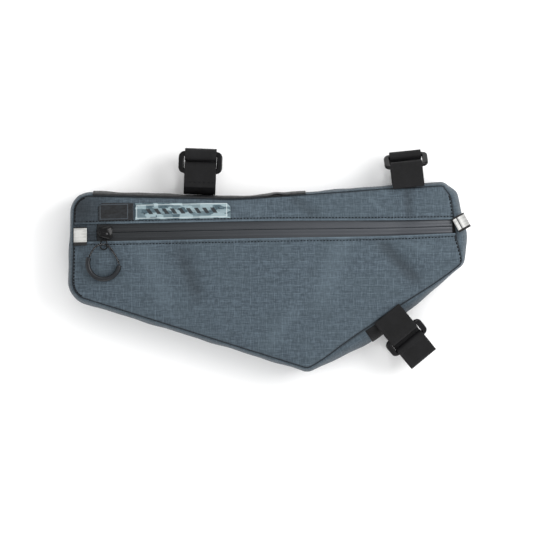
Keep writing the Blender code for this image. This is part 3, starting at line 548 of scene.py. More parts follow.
def ripstopMaterial(name, dark, light, lines):
    # Blue-grey polyester ripstop: two-tone threads both ways, and a raised reinforcing
    # thread every 7.5 mm in each direction. Yarn 0.45 mm, slubs 1 to 6 mm long.
    material, tree, shader = startMaterial(name, 0.78, ior=1.5, sheen=0.06, gloss=0.35)
    u, v = clothAxes(tree)
    warp = stretchedNoise(tree, u, v, 1.15, 0.16, 2.0, 3.1)
    weft = stretchedNoise(tree, u, v, 0.16, 1.15, 2.0, 8.4)
    grain = stretchedNoise(tree, u, v, 1.6, 1.6, 1.0, 5.0)
    tone = calc(tree, "ADD", calc(tree, "MULTIPLY", warp, 0.42), calc(tree, "MULTIPLY", weft, 0.42))
    tone = calc(tree, "MULTIPLY_ADD", grain, 0.16, tone)
    tone = mapRange(tree, tone, 0.36, 0.64)
    cloud = stretchedNoise(tree, u, v, 0.030, 0.045, 3.0, 1.7)
    colour = mixColour(tree, tone, linear(dark), linear(light))
    tint = mapRange(tree, cloud, 0.3, 0.7, 0.0, 0.35)
    colour = mixColour(tree, tint, colour, linear("#3b474e"))
    wobbleU = calc(tree, "MULTIPLY", stretchedNoise(tree, u, v, 0.02, 0.12, 1.0, 6.0), 0.8)
    wobbleV = calc(tree, "MULTIPLY", stretchedNoise(tree, u, v, 0.12, 0.02, 1.0, 9.0), 0.8)
    lineU = gridLine(tree, u, 7.5, 0.50, wobbleU)
    lineV = gridLine(tree, v, 7.5, 0.50, wobbleV)
    ripstop = calc(tree, "MAXIMUM", lineU, lineV)
    broken = mapRange(tree, calc(tree, "ADD", weft, warp), 0.80, 1.15, 0.25, 1.0)
    colour = mixColour(tree, calc(tree, "MULTIPLY", calc(tree, "MULTIPLY", ripstop, broken), 0.24), colour, linear(lines))
    # The per-point mark paints highlight (above 0, towards the paler line colour) and shade (below 0, towards #14191e,
    # the painted shade's colour).
    toneMark = addNode(tree, "ShaderNodeAttribute", attribute_name="toneMark").outputs["Fac"]
    colour = mixColour(tree, mapRange(tree, toneMark, 0.0, 1.0, smooth=False), colour, linear(lines))
    colour = mixColour(tree, mapRange(tree, toneMark, -1.0, 0.0, 1.0, 0.0, smooth=False), colour, linear("#14191e"))
    tree.links.new(colour, shader.inputs["Base Color"])
    rough = mapRange(tree, tone, 0.0, 1.0, 0.86, 0.70, smooth=False)
    tree.links.new(rough, shader.inputs["Roughness"])
    yarn = calc(tree, "MULTIPLY", wave(tree, u, 0.9), wave(tree, v, 0.9))
    height = calc(tree, "MULTIPLY_ADD", yarn, 0.25, calc(tree, "MULTIPLY", tone, 0.5))
    height = calc(tree, "MULTIPLY_ADD", ripstop, 0.6, height)
    addBump(tree, shader, height, 0.00012)
    return material


def webbingMaterial(name, dark, light):
    # Black polyamide strap: ribs across it every 1.1 mm, a plain edge, a matt brushed face.
    material, tree, shader = startMaterial(name, 0.72, ior=1.53, gloss=0.2)
    u, v = clothAxes(tree)
    rib = wave(tree, u, 1.1)
    warp = wave(tree, v, 0.8)
    lint = stretchedNoise(tree, u, v, 0.9, 0.9, 3.0, 2.2)
    toneMark = stretchedNoise(tree, u, v, 0.05, 0.10, 2.0, 4.4)
    tone = mapRange(tree, calc(tree, "MULTIPLY_ADD", toneMark, 0.6, calc(tree, "MULTIPLY", lint, 0.4)), 0.32, 0.68)
    colour = mixColour(tree, tone, linear(dark), linear(light))
    tree.links.new(colour, shader.inputs["Base Color"])
    tree.links.new(mapRange(tree, lint, 0.3, 0.7, 0.62, 0.82, smooth=False), shader.inputs["Roughness"])
    height = calc(tree, "MULTIPLY_ADD", calc(tree, "MULTIPLY", rib, warp), 0.35, calc(tree, "MULTIPLY", lint, 0.5))
    addBump(tree, shader, height, 0.00010)
    return material


def coatedMaterial(name, dark, light, roughness, grain, paintedLightRamp=None):
    # Rubber-coated cloth: nearly even colour, fine grain, long faint streaks. The last argument, if given, paints
    # light along the piece: two distances in millimetres and the paler colour that it turns to between them.
    material, tree, shader = startMaterial(name, roughness, ior=1.52, gloss=0.3)
    u, v = clothAxes(tree)
    grainNoise = stretchedNoise(tree, u, v, grain, grain, 2.0, 1.3)
    streak = stretchedNoise(tree, u, v, 0.03, 0.9, 2.0, 7.7)
    tone = calc(tree, "MULTIPLY_ADD", streak, 0.7, calc(tree, "MULTIPLY", grainNoise, 0.3))
    colour = mixColour(tree, mapRange(tree, tone, 0.30, 0.70), linear(dark), linear(light))
    if paintedLightRamp:
        colour = mixColour(tree, mapRange(tree, u, paintedLightRamp[0], paintedLightRamp[1]), colour, linear(paintedLightRamp[2]))
    tree.links.new(colour, shader.inputs["Base Color"])
    rough = mapRange(tree, grainNoise, 0.3, 0.7, roughness - 0.07, roughness + 0.08, smooth=False)
    tree.links.new(rough, shader.inputs["Roughness"])
    addBump(tree, shader, calc(tree, "MULTIPLY_ADD", streak, 0.4, grainNoise), 0.00006)
    return material


def plasticMaterial(name, dark, light, roughness):
    # Moulded black acetal: faint flow marks and a fine orange-peel surface.
    material, tree, shader = startMaterial(name, roughness, ior=1.48, gloss=0.22)
    place = addNode(tree, "ShaderNodeTexCoord").outputs["Object"]
    flow = addNode(tree, "ShaderNodeTexNoise", {"Vector": place, "Scale": 260.0, "Detail": 2.0}).outputs["Fac"]
    peel = addNode(tree, "ShaderNodeTexNoise", {"Vector": place, "Scale": 2400.0, "Detail": 1.0}).outputs["Fac"]
    colour = mixColour(tree, mapRange(tree, flow, 0.35, 0.65), linear(dark), linear(light))
    tree.links.new(colour, shader.inputs["Base Color"])
    rough = mapRange(tree, flow, 0.3, 0.7, roughness - 0.05, roughness + 0.07, smooth=False)
    tree.links.new(rough, shader.inputs["Roughness"])
    addBump(tree, shader, peel, 0.00002)
    return material


def reflectiveMaterial(name, edgeLow, edgeHigh, silverPair, foldShadeAt=None):
    # Silver glass-bead tape, 0.3 mm beads, with a black woven border along both edges, and painted
    # shade, a dark band, where the tape is folded.
    material, tree, shader = startMaterial(name, 0.42, ior=1.6, metallic=0.15)
    u, v = clothAxes(tree)
    place = addNode(tree, "ShaderNodeCombineXYZ", {"X": u, "Y": v}).outputs[0]
    beads = addNode(tree, "ShaderNodeTexVoronoi", {"Vector": place, "Scale": 3.2}).outputs["Distance"]
    smear = stretchedNoise(tree, u, v, 0.12, 0.35, 3.0, 2.9)
    silver = mixColour(tree, mapRange(tree, smear, 0.35, 0.65), linear(silverPair[0]), linear(silverPair[1]))
    silver = mixColour(tree, mapRange(tree, beads, 0.1, 0.7, 0.0, 0.25), silver, linear("#929391"))
    low = mapRange(tree, v, edgeLow - 0.12, edgeLow + 0.12, 1.0, 0.0)
    high = mapRange(tree, v, edgeHigh - 0.12, edgeHigh + 0.12)
    border = calc(tree, "MAXIMUM", low, high)
    if foldShadeAt:
        away = calc(tree, "ABSOLUTE", calc(tree, "SUBTRACT", u, foldShadeAt))
        border = calc(tree, "MAXIMUM", border, mapRange(tree, away, 0.35, 1.15, 0.85, 0.0))
    tree.links.new(mixColour(tree, border, silver, linear("#0b0b0c")), shader.inputs["Base Color"])
    tree.links.new(mapRange(tree, border, 0.0, 1.0, 0.40, 0.80), shader.inputs["Roughness"])
    height = calc(tree, "MULTIPLY_ADD", wave(tree, u, 0.7), calc(tree, "MULTIPLY", border, 0.5), calc(tree, "MULTIPLY", beads, 0.4))
    addBump(tree, shader, height, 0.00006)
    return material


def labelMaterial(name, width, tall, colours, patches):
    # Printed film: an inset outline near its edge and, on the pale one, soft mottled blocks
    # with a row of slanting bars, a plain ornament.
    material, tree, shader = startMaterial(name, 0.34, ior=1.5, gloss=0.4)
    u, v = clothAxes(tree)
    place = addNode(tree, "ShaderNodeCombineXYZ", {"X": calc(tree, "MULTIPLY", u, 0.115), "Y": calc(tree, "MULTIPLY", v, 0.26)}).outputs[0]
    cells = addNode(tree, "ShaderNodeTexVoronoi", {"Vector": place, "Scale": 1.0, "Randomness": 0.9}, distance="CHEBYCHEV")
    block = addNode(tree, "ShaderNodeSeparateColor", {"Color": cells.outputs["Color"]}).outputs[0]
    colour = mixColour(tree, mapRange(tree, block, 0.15, 0.85), linear(colours[0]), linear(colours[1]))
    soft = stretchedNoise(tree, u, v, 0.25, 0.5, 2.0, 4.1)
    colour = mixColour(tree, mapRange(tree, soft, 0.45, 0.75, 0.0, 0.5), colour, linear(colours[2]))
    fromEnds = calc(tree, "MINIMUM", u, calc(tree, "SUBTRACT", width, u))
    fromSides = calc(tree, "MINIMUM", v, calc(tree, "SUBTRACT", tall, v))
    edge = calc(tree, "MINIMUM", fromEnds, fromSides)
    outline = calc(tree, "SUBTRACT", 1.0, mapRange(tree, calc(tree, "ABSOLUTE", calc(tree, "SUBTRACT", edge, 1.5)), 0.18, 0.42))
    colour = mixColour(tree, calc(tree, "MULTIPLY", outline, 0.75), colour, linear(colours[3]))
    ink = outline
    if patches:
        slant = calc(tree, "MULTIPLY_ADD", v, 0.7, u)
        bars = mapRange(tree, calc(tree, "PINGPONG", slant, 3.8), 1.75, 2.05, 0.0, 1.0)
        tallEnough = mapRange(tree, calc(tree, "ABSOLUTE", calc(tree, "SUBTRACT", v, tall / 2)), 2.4, 2.7, 1.0, 0.0)
        inside = mapRange(tree, fromEnds, 8.0, 8.4)
        ink = calc(tree, "MULTIPLY", calc(tree, "MULTIPLY", bars, tallEnough), inside)
        colour = mixColour(tree, calc(tree, "MULTIPLY", ink, 0.95), colour, linear("#14181c"))
    tree.links.new(colour, shader.inputs["Base Color"])
    tree.links.new(mapRange(tree, soft, 0.3, 0.7, 0.26, 0.44, smooth=False), shader.inputs["Roughness"])
    addBump(tree, shader, calc(tree, "MULTIPLY_ADD", outline, 0.6, soft), 0.00008)
    return material


def cordMaterial(name, dark, light, turn):
    # Braided cord: two families of slanting strands, with a pale fleck thread on one of them.
    material, tree, shader = startMaterial(name, 0.62, ior=1.5, gloss=0.2)
    u, v = clothAxes(tree)
    turned = calc(tree, "MULTIPLY", v, 1.0)
    right = wave(tree, calc(tree, "ADD", u, turned), turn)
    left = wave(tree, calc(tree, "SUBTRACT", u, turned), turn)
    weave = calc(tree, "MULTIPLY", right, left)
    fleck = mapRange(tree, calc(tree, "MULTIPLY", mapRange(tree, right, 0.5, 0.9), mapRange(tree, left, 0.3, 0.8)), 0.45, 0.8)
    colour = mixColour(tree, mapRange(tree, weave, -0.6, 0.8), linear("#0c0c0d"), linear(dark))
    colour = mixColour(tree, calc(tree, "MULTIPLY", fleck, 0.85), colour, linear(light))
    tree.links.new(colour, shader.inputs["Base Color"])
    addBump(tree, shader, weave, 0.00012)
    return material


def threadMaterial(name, dark, light):
    # Bonded sewing thread, twisted every 0.7 mm.
    material, tree, shader = startMaterial(name, 0.75, ior=1.53, gloss=0.1)
    u, v = clothAxes(tree)
    twist = wave(tree, calc(tree, "ADD", u, calc(tree, "MULTIPLY", v, 0.7)), 0.7)
    colour = mixColour(tree, mapRange(tree, twist, -0.8, 0.9), linear(dark), linear(light))
    tree.links.new(colour, shader.inputs["Base Color"])
    addBump(tree, shader, twist, 0.00005)
    return material


ripstop = ripstopMaterial("blueGreyRipstop", "#303a42", "#45525c", "#66757f")
# The walls' and back's ripstop is a slightly darker copy of the front's: painted shade.
ripstopPaintedShade = ripstopMaterial("gussetRipstopPaintedShade", "#2d373f", "#404d57", "#5d6c76")
# The zip end cover's ripstop is a much darker copy of the same cloth: painted shade for its place sunk in the slot.
ripstopPaintedDeepShade = ripstopMaterial("coverRipstopPaintedShade", "#1d242a", "#2d363d", "#46525b")
webbing = webbingMaterial("blackWebbing", "#070708", "#111113")
bandCoat = coatedMaterial("rubberCoatedBand", "#0c0d0f", "#17181b", 0.55, 2.2)
liningCloth = coatedMaterial("blackLining", "#050506", "#0a0a0b", 0.80, 2.2)
# Painted light on the zip tape: darker at its left end, paler towards its right.
zipCoat = coatedMaterial("coatedZipTape", "#0f1215", "#1b1e21", 0.42, 1.6, (-170.0, 150.0, "#3f4247"))
hardPlastic = plasticMaterial("blackAcetal", "#030304", "#08080a", 0.15)
gripRubber = coatedMaterial("gripRubber", "#0d1014", "#191d22", 0.34, 3.0)
cordBraid = cordMaterial("fleckedCord", "#0b0b0d", "#b0b3b7", 1.7)
threadDark = threadMaterial("darkThread", "#0b0e12", "#1a1f25")
threadBlack = threadMaterial("blackThread", "#060607", "#131315")
print("stage: materials made")


# Cord of the zip pull: same route as the CAD

pull = {
    "share": 0.097, "sliderLength": 0.0150, "sliderWidth": 0.0125, "sliderHeight": 0.0046,
    "linkLength": 0.0100, "linkWidth": 0.0072, "linkBar": 0.0013, "cord": 0.0018, "coverThickness": 0.0010,
    "grip": (0.0953, 0.5710), "gripRadius": 0.0149, "gripTube": 0.0047, "gripStart": 157.0, "gripEnd": 354.0,
}

# share of length, share of height, height over the link's middle
cordPoints = (
    (0.0640, 0.6240, -0.0002), (0.0700, 0.6450, 0.0010), (0.0765, 0.6590, 0.0021),
    (0.0855, 0.6680, 0.0025), (0.0957, 0.6700, 0.0000), (0.1057, 0.6640, -0.0024),
    (0.1133, 0.6470, -0.0023), (0.1208, 0.6240, -0.0014), (0.1285, 0.5940, -0.0008),
)


def cadHeight(spots):
    return plainHeight(spots, nearSeam(frontSeam, spots)[0])


def pullPlace():
    x = float(alongBody(pull["share"]))
    return x, float(zipLine(np.array([x]))[0][0])


def linkHeight():
    x, y = pullPlace()
    under = float(cadHeight(np.array([[x, y - 0.014]]))[0]) + lip["raise"]
    return under + 3 * gap + pull["cord"] + pull["linkBar"] / 2


def gripPath(steps):
    x, y = float(alongBody(pull["grip"][0])), float(upBody(pull["grip"][1]))
    a = np.radians(np.linspace(pull["gripStart"], pull["gripEnd"], steps))
    spots = np.stack([x + pull["gripRadius"] * np.cos(a), y + pull["gripRadius"] * np.sin(a)], axis=-1)
    height = cadHeight(spots).max() + lip["raise"] + gap + pull["gripTube"] / 2
    return lifted(spots, height)


def cordRoute():
    path = gripPath(60)
    room = gap + 0.15 * pull["cord"]
    first = path[0] + (path[0] - path[1]) / np.linalg.norm(path[0] - path[1]) * room
    last = path[-1] + (path[-1] - path[-2]) / np.linalg.norm(path[-1] - path[-2]) * room
    middle = [(float(alongBody(row[0])), float(upBody(row[1])), linkHeight() + row[2]) for row in cordPoints]
    return smoothPath([first] + middle + [last], 16)


def makeCord():
    route = evenPath(cordRoute(), 0.0006)
    sides = 16
    profile = ovalProfile(pull["cord"], pull["cord"], 2.0, sides)
    rings = tubeRings(route, np.broadcast_to(profile, (len(route), sides, 2)), False)
    piece = loftPiece("pullCord", rings, cordBraid, ("pull_cord",), pitch=5.1e-3)


makeCord()
print("stage: cord made")


# Front panels

def denseSteps(length, count):
    # Shares from 0 to 1, close together near both ends so that rims can be round.
    near = np.array([0.0, 0.00012, 0.0003, 0.0006, 0.0010, 0.0016, 0.0026]) / length
    middle = np.linspace(near[-1], 1.0 - near[-1], count)
    return np.concatenate([near[:-1], middle, 1.0 - near[-2::-1]])


def filledPatch(low, high, left, right, shares, rises):
    # Points between four joined edges, each row blended from all of them.
    u, v = shares[:, None, None], rises[None, :, None]
    flat = (1 - v) * low[:, None] + v * high[:, None] + (1 - u) * left[None] + u * right[None]
    return flat - (1 - u) * (1 - v) * low[0] - u * (1 - v) * low[-1] - (1 - u) * v * high[0] - u * v * high[-1]


def seamCrossing(edge, left):
    middle, half = zipLine(frontSeam[:, 0])
    away = np.abs(frontSeam[:, 1] - (middle + edge * half))
    return fine[np.argmin(np.where((frontSeam[:, 0] < 0.0) == left, away, 1.0))]


def zipEdge(start, end, edge, shares):
    first, last = seamPoint(start, outward=-gap / 2), seamPoint(end, outward=-gap / 2)
    x = first[0] + (last[0] - first[0]) * shares
    middle, half = zipLine(x)
    y = middle + edge * half
    y = y + (first[1] - y[0]) * (1 - shares) + (last[1] - y[-1]) * shares
    return np.stack([x, y], axis=-1)


def panelHalf(spots, away, edgeAway):
    near = np.clip(np.minimum(away - gap / 2, edgeAway) / 0.0009, 0.0, 1.0)
    return wall / 2 * np.sqrt(1.0 - (1.0 - near) ** 2)


def frontPanel(name, node, edge, leftCorner, rightCorner, columns, rows):
    leftAt, rightAt = seamCrossing(edge, True), seamCrossing(edge, False)
    farLeft, farRight = cornerAt[leftCorner], cornerAt[rightCorner]
    if edge > 0:
        farLeft, leftAt = farLeft + around, leftAt + around
    shares, rises = denseSteps(0.36, columns), denseSteps(0.05 if edge > 0 else 0.10, rows)
    near = zipEdge(leftAt, rightAt, edge, shares)
    far = seamPoint(farLeft + (farRight - farLeft) * shares, outward=-gap / 2)
    left = seamPoint(leftAt + (farLeft - leftAt) * rises, outward=-gap / 2)
    right = seamPoint(rightAt + (farRight - rightAt) * rises, outward=-gap / 2)
    spots = filledPatch(near, far, left, right, shares, rises)
    away, place = nearSeam(frontSeam, spots)
    middle, half = zipLine(spots[..., 0])
    edgeAway = np.abs(spots[..., 1] - middle) - half
    height = plainHeight(spots, away) + drape(spots, away, place) + lipHeight(spots)
    # Paler along the folded edge: painted highlight, partly rubbed cloth. Painted shade in the stitches' groove and in
    # the seam.
    stitch = lip["stitchUpper"] if edge > 0 else lip["stitchLower"]
    toneMark = 0.38 * np.exp(-((edgeAway - 0.0006) / 0.0005) ** 2) - 0.26 * np.exp(-((edgeAway - stitch) / 0.0006) ** 2)
    toneMark = toneMark - 0.8 * np.exp(-(away / 0.0008) ** 2)
    # Painted shade in the folds' hollows and painted highlight on their crests.
    toneMark = toneMark + foldHeight(spots, frontFolds) / 0.0021 * 0.50
    # Painted shade: a broad darker patch at the upper left end of the panel.
    toneMark = toneMark - 0.80 * np.exp(-((spots[..., 0] + 0.176) / 0.030) ** 2 - ((spots[..., 1] - 0.064) / 0.024) ** 2)
    toneMark = np.clip(toneMark, -1.0, 1.0)
    centre = lifted(spots, height - wall / 2)
    normal = np.broadcast_to(np.array([0.0, 0.0, 1.0]), centre.shape)
    return sheetPiece(name, centre, normal, panelHalf(spots, away, edgeAway), spots, ripstop,
                      (node,), toneMark=toneMark)


frontPanel("upperFrontFabric", "front_upper_panel", 1.0, "topLeft", "topRight", 330, 48)
frontPanel("lowerFrontFabric", "front_lower_panel", -1.0, "bottomLeft", "rightLow", 330, 118)
print("stage: front panels made")


# Gusset walls

gusset = {"spacing": 0.0022, "outerSteps": 34, "innerSteps": 9, "shift": 0.004}


def wallSection(place, turn, lift):
    # Bulging wall: turn 0 is its middle, 90 the front seam, -90 the back seam; lift is outward.
    front, back = body["depth"] - body["crown"], body["backSeamHeight"]
    inset = np.where(turn >= 0, seamInset(place), seamInset(place, back=True)) - gap / 2
    halfDepth = (front - back) / 2
    a = np.radians(turn)
    out = inset * (np.cos(a) - 1.0)
    depth = (front + back) / 2 + (halfDepth - body["seamRoll"] * np.abs(np.sin(a)) ** 40) * np.sin(a)
    steep = np.stack([np.cos(a) / inset, np.sin(a) / halfDepth], axis=-1)
    steep /= np.linalg.norm(steep, axis=-1)[..., None]
    out, depth = out + lift * steep[..., 0], depth + lift * steep[..., 1]
    return lifted(outlinePoint(place) + outlineNormal(place) * out[..., None], depth)


def wallDrape(place, turn):
    # Slow waves of the wall and the seams' puckers; zero at both seams.
    a = np.radians(turn)
    slack = np.cos(a) ** 2
    waves = 0.00030 * np.sin(2 * math.pi * place / 0.058 + a) + 0.00022 * np.sin(2 * math.pi * place / 0.031 - 1.7 * a + 1.0)
    drawnIn = np.sin(2 * math.pi * place / 0.0083 + 1.5 * np.sin(2 * math.pi * place / 0.047))
    near = np.abs(np.sin(a)) ** 6 * np.abs(np.cos(a)) * 2.2
    return slack * waves + 0.00022 * near * drawnIn


def wallPiece(name, node, start, end):
    straight = np.linspace(start, end, int((end - start) / gusset["spacing"]))
    turning = np.concatenate([[0.0], np.cumsum(np.linalg.norm(np.diff(outlineNormal(straight), axis=0), axis=1))])
    effort = (straight - start) / gusset["spacing"] + turning / math.radians(4.0)
    places = np.interp(np.linspace(0.0, effort[-1], int(effort[-1])), effort, straight)
    s = np.linspace(-1.0, 1.0, gusset["outerSteps"])
    turns = 90.0 * np.sin(s * math.pi / 2)[::-1]
    turns = 0.5 * turns + 0.5 * 90.0 * s[::-1]
    place, turn = np.meshgrid(places, turns, indexing="ij")
    outer = wallSection(place, turn, wallDrape(place, turn))
    # Inner face: one wall thickness in, and short of the seams by the seam allowance.
    innerTurns = np.linspace(-90.0, 90.0, gusset["innerSteps"])
    place, turn = np.meshgrid(places, innerTurns, indexing="ij")
    front, back = body["depth"] - body["crown"], body["backSeamHeight"]
    inset = np.where(turn >= 0, seamInset(place), seamInset(place, back=True)) - gap / 2
    a = np.radians(turn)
    out = -inset + (inset - wall) * np.cos(a)
    depth = (front + back) / 2 + ((front - back) / 2 - body["seamAllowance"]) * np.sin(a)
    inner = lifted(outlinePoint(place) + outlineNormal(place) * out[..., None], depth)
    rings = np.concatenate([outer, inner], axis=1)
    count, sides = rings.shape[:2]
    index = np.arange(count * sides).reshape(count, sides)
    index = np.concatenate([index, index[:, :1]], axis=1)
    closedRings = np.concatenate([rings, rings[:, :1]], axis=1)
    v = np.concatenate([np.zeros((count, 1)), np.cumsum(np.linalg.norm(np.diff(closedRings, axis=1), axis=2), axis=1)], axis=1)
    uv = np.stack([np.repeat(places[:, None], sides + 1, axis=1), v], axis=-1)
    faces, pairs = gridFaces(index, uv)
    groups = [faces, np.arange(sides)[None, :], np.arange((count - 1) * sides, count * sides)[None, ::-1]]
    ends = [np.zeros((1, sides, 2)), np.zeros((1, sides, 2))]
    # Painted shade: the wall darkens towards both seams.
    paintedSeamShade = np.concatenate([-0.8 * np.abs(np.sin(np.radians(turns))) ** 160, np.zeros(gusset["innerSteps"])])
    toneMark = np.tile(paintedSeamShade, count)
    return makePiece(name, rings.reshape(-1, 3), groups, [pairs] + ends, ripstopPaintedShade, (node,), toneMark=toneMark)


leftEnd = cornerAt["topLeft"] + around - gusset["shift"]
rightEnd = cornerAt["topRight"] + 0.002
wallPiece("sideWallFabric", "side_gusset", leftEnd - around + gap / 20, rightEnd - gap / 20)
wallPiece("topWallFabric", "top_gusset", rightEnd + gap / 20, leftEnd - gap / 20)


def seamBinding():
    # Black tape inside the bag, all the way round below the front seam's allowance.
    places = np.linspace(0.0, around, 421)
    w = np.concatenate([[-0.0004, -0.0003], np.linspace(0.0, 0.0026, 5), [0.0028, 0.0029]])
    place, inward = np.meshgrid(places, w, indexing="ij")
    spots = outlinePoint(place) - outlineNormal(place) * (seamInset(place) + inward)[..., None]
    middle = lifted(spots, body["depth"] - body["crown"] - body["seamAllowance"] - 0.0007)
    high, low = middle + np.array([0.0, 0.0, 0.00015]), middle - np.array([0.0, 0.0, 0.00015])
    rings = np.concatenate([high, low[:, ::-1]], axis=1)[:-1]
    loftPiece("seamBinding", rings, liningCloth, closed=True)


seamBinding()
print("stage: walls made")


# Back panel: flat where the bag lies, curving up into its seam

def backPanel():
    leftLow, rightLow = cornerAt["bottomLeft"], cornerAt["rightLow"]
    leftHigh, rightHigh = cornerAt["topLeft"] + around, cornerAt["topRight"]
    shares, rises = denseSteps(body["length"], 170), denseSteps(0.6 * body["height"], 64)

    def edge(start, end, steps):
        return seamPoint(start + (end - start) * steps, back=True, outward=-gap / 2)

    low, high = edge(leftLow, rightLow, shares), edge(leftHigh, rightHigh, shares)
    left, right = edge(leftLow + around, leftHigh, rises), edge(rightLow, rightHigh, rises)
    spots = filledPatch(low, high, left, right, shares, rises)
    away, place = nearSeam(backSeam, spots)
    share = np.clip(away / body["backCurveReach"], 0.0, 1.0)
    height = body["backSeamHeight"] * (1.0 - share) ** 3
    pucker = 0.00018 * np.sin(2 * math.pi * place / 0.0085) * np.exp(-away / 0.0035) * (1 - np.exp(-away / 0.001))
    near = np.clip((away - gap / 2) / 0.0009, 0.0, 1.0)
    half = wall / 2 * np.sqrt(1.0 - (1.0 - near) ** 2)
    centre = lifted(spots, height + pucker + wall / 2)
    normal = np.broadcast_to(np.array([0.0, 0.0, 1.0]), centre.shape)
    return sheetPiece("backFabric", centre, normal, half, spots, ripstopPaintedShade, ("back_panel",))


backPanel()


# Black band on the top wall, gaping over its passage

band = {"thickness": 0.0009, "rise": 0.0006, "shares": (0.068, 0.501, 0.546, 0.596), "turn": 87.0, "draw": 27.0}


def wallStrip(name, node, places, turns, lifts, thickness, material):
    # A strip on the bulging wall, its rim rounded; turns may change from place to place.
    place = np.repeat(places[:, None], turns.shape[-1], axis=1)
    turn = np.broadcast_to(turns, place.shape)
    centre = wallSection(place, turn, lifts + thickness / 2)
    across = pathLengths(centre[len(places) // 2])
    half = rimHalf(np.abs(places - places[0]), across, thickness, 0.0006)
    uv = np.stack(np.broadcast_arrays(place, across[None, :]), axis=-1)
    return sheetPiece(name, centre, gridNormal(centre), half, uv, material, (node,) if node else ())


def edgeSteps(start, end, count):
    # Even steps, with a few short ones at both ends for the round rim.
    sign = 1.0 if end > start else -1.0
    near = np.array([0.0, 0.0001, 0.0003, 0.0006, 0.0010]) * sign
    return np.concatenate([start + near, np.linspace(start, end, count)[1:-1], (end - near)[::-1]])


def makeBand():
    end, passageEnd, passageStart, start = [topAt(float(alongBody(share))) for share in band["shares"]]
    places = edgeSteps(start, end, 190)
    share = np.clip((places - passageStart) / (passageEnd - passageStart), 0.0, 1.0)
    gape = np.sin(math.pi * share) ** 2
    front = (band["turn"] - band["draw"] * gape)[:, None]
    steps = np.concatenate([[1.0, 0.993, 0.982], np.linspace(0.965, 0.0, 17)])
    back = np.broadcast_to(-band["turn"] * steps[-2::-1], (len(places), len(steps) - 1))
    turns = np.concatenate([front * steps, back], axis=1)
    place = np.repeat(places[:, None], turns.shape[1], axis=1)
    lifts = (gap + band["rise"] * gape)[:, None] + wallDrape(place, turns)
    wallStrip("topBand", "top_band", places, turns, lifts, band["thickness"], bandCoat)
    # Black cloth on the wall under the passage, seen where the band's edge draws back.
    places = edgeSteps(passageStart - 0.004, passageEnd + 0.004, 40)
    turns = edgeSteps(88.5 / 1000, 40.0 / 1000, 24) * 1000
    place, turn = np.meshgrid(places, turns, indexing="ij")
    lifts = 0.00008 + wallDrape(place, turn)
    wallStrip("passageLining", None, places, turns, lifts, 0.00022, liningCloth)


makeBand()
print("stage: back and band made")


# Zip: two coated halves that meet on the middle line

zipTape = {"half": 0.012, "thickness": 0.0012, "margin": 0.0022, "ridge": 0.0006, "ridgeAt": 0.0014, "ridgeReach": 0.0013}


def seamX(left):
    return float(seamPoint(seamCrossing(0.0, left))[0])


def makeTape(name, node, side):
    start, end = seamX(True) + zipTape["margin"], seamX(False) - zipTape["margin"]
    x = edgeSteps(start, end, 300)
    v = np.concatenate([[0.0, 0.0001, 0.00025, 0.0005], np.linspace(0.0009, 0.0114, 34), [0.0117, 0.01185]])
    middle, half = zipLine(x)
    spots = np.stack(np.broadcast_arrays(x[:, None], middle[:, None] + side * (gap / 2 + v[None, :])), axis=-1)
    height = cadHeight(spots) - wall - gap - zipTape["thickness"] / 2
    # Rounded ridge over the hidden coil, and a slack hollow towards the right end.
    ridge = zipTape["ridge"] * np.exp(-((v - zipTape["ridgeAt"]) / zipTape["ridgeReach"]) ** 2)
    second = 0.00022 * np.exp(-((v - 0.0052) / 0.0007) ** 2)
    share = np.clip((x - 0.060) / 0.080, 0.0, 1.0)
    slack = 0.0011 * (share * share * (3 - 2 * share))[:, None] * np.clip(v / 0.0075, 0.0, 1.0)[None, :] ** 2
    slow = 0.00018 * np.sin(2 * math.pi * x / 0.047 + side)[:, None] * np.clip(1.0 - v / 0.009, 0.0, 1.0)[None, :]
    height = height + (ridge + second)[None, :] - slack + slow - 0.0002
    rim = rimHalf(np.abs(x - x[0]), v, zipTape["thickness"], 0.0006)
    centre = lifted(spots, height)
    uv = np.stack(np.broadcast_arrays(x[:, None], side * v[None, :]), axis=-1)
    return sheetPiece(name, centre, gridNormal(centre), rim, uv, zipCoat, (node,))


makeTape("upperZipTape", "zip_tape_upper", 1.0)
makeTape("lowerZipTape", "zip_tape_lower", -1.0)


# Cloth cover at the zip's left end, reflective tabs and label

trim = {
    "tabWidth": 0.0150, "leftTabWidth": 0.0172, "leftTabDrop": 0.0032, "tabThickness": 0.0012, "tabEnd": 0.0535,
    "coverEnd": 0.078, "coverOverlap": 0.0135, "rightTabAngle": 29.0, "rightTabReach": 0.0130,
    "labelStart": 0.0823, "labelSplit": 0.1709, "splitGap": 0.0016, "labelEnd": 0.4098, "labelTop": 0.8860,
    "lowLeft": 0.7925, "lowRight": 0.8080, "labelThickness": 0.0008, "chamfer": 0.0035,
}


def frontSheet(name, node, x, low, high, rows, lift, thickness, material, bend=0.0):
    # A thin sheet on the front surface between two edges, bowed up along its middle by bend.
    share = edgeSteps(0.0, 0.015, rows) / 0.015
    y = low[:, None] + (high - low)[:, None] * share[None, :]
    spots = np.stack(np.broadcast_arrays(x[:, None], y), axis=-1)
    height = frontSurface(spots) + lift + thickness / 2
    along = (x - x[0]) / (x[-1] - x[0])
    height = height + bend * np.sin(math.pi * along)[:, None]
    tall = float(np.mean(high - low))
    half = rimHalf(x - x[0], share * tall, thickness, 0.0005)
    centre = lifted(spots, height)
    uv = np.stack(np.broadcast_arrays(x[:, None] - x[0], y - low[:, None]), axis=-1)
    return sheetPiece(name, centre, gridNormal(centre), half, uv, material, (node,))


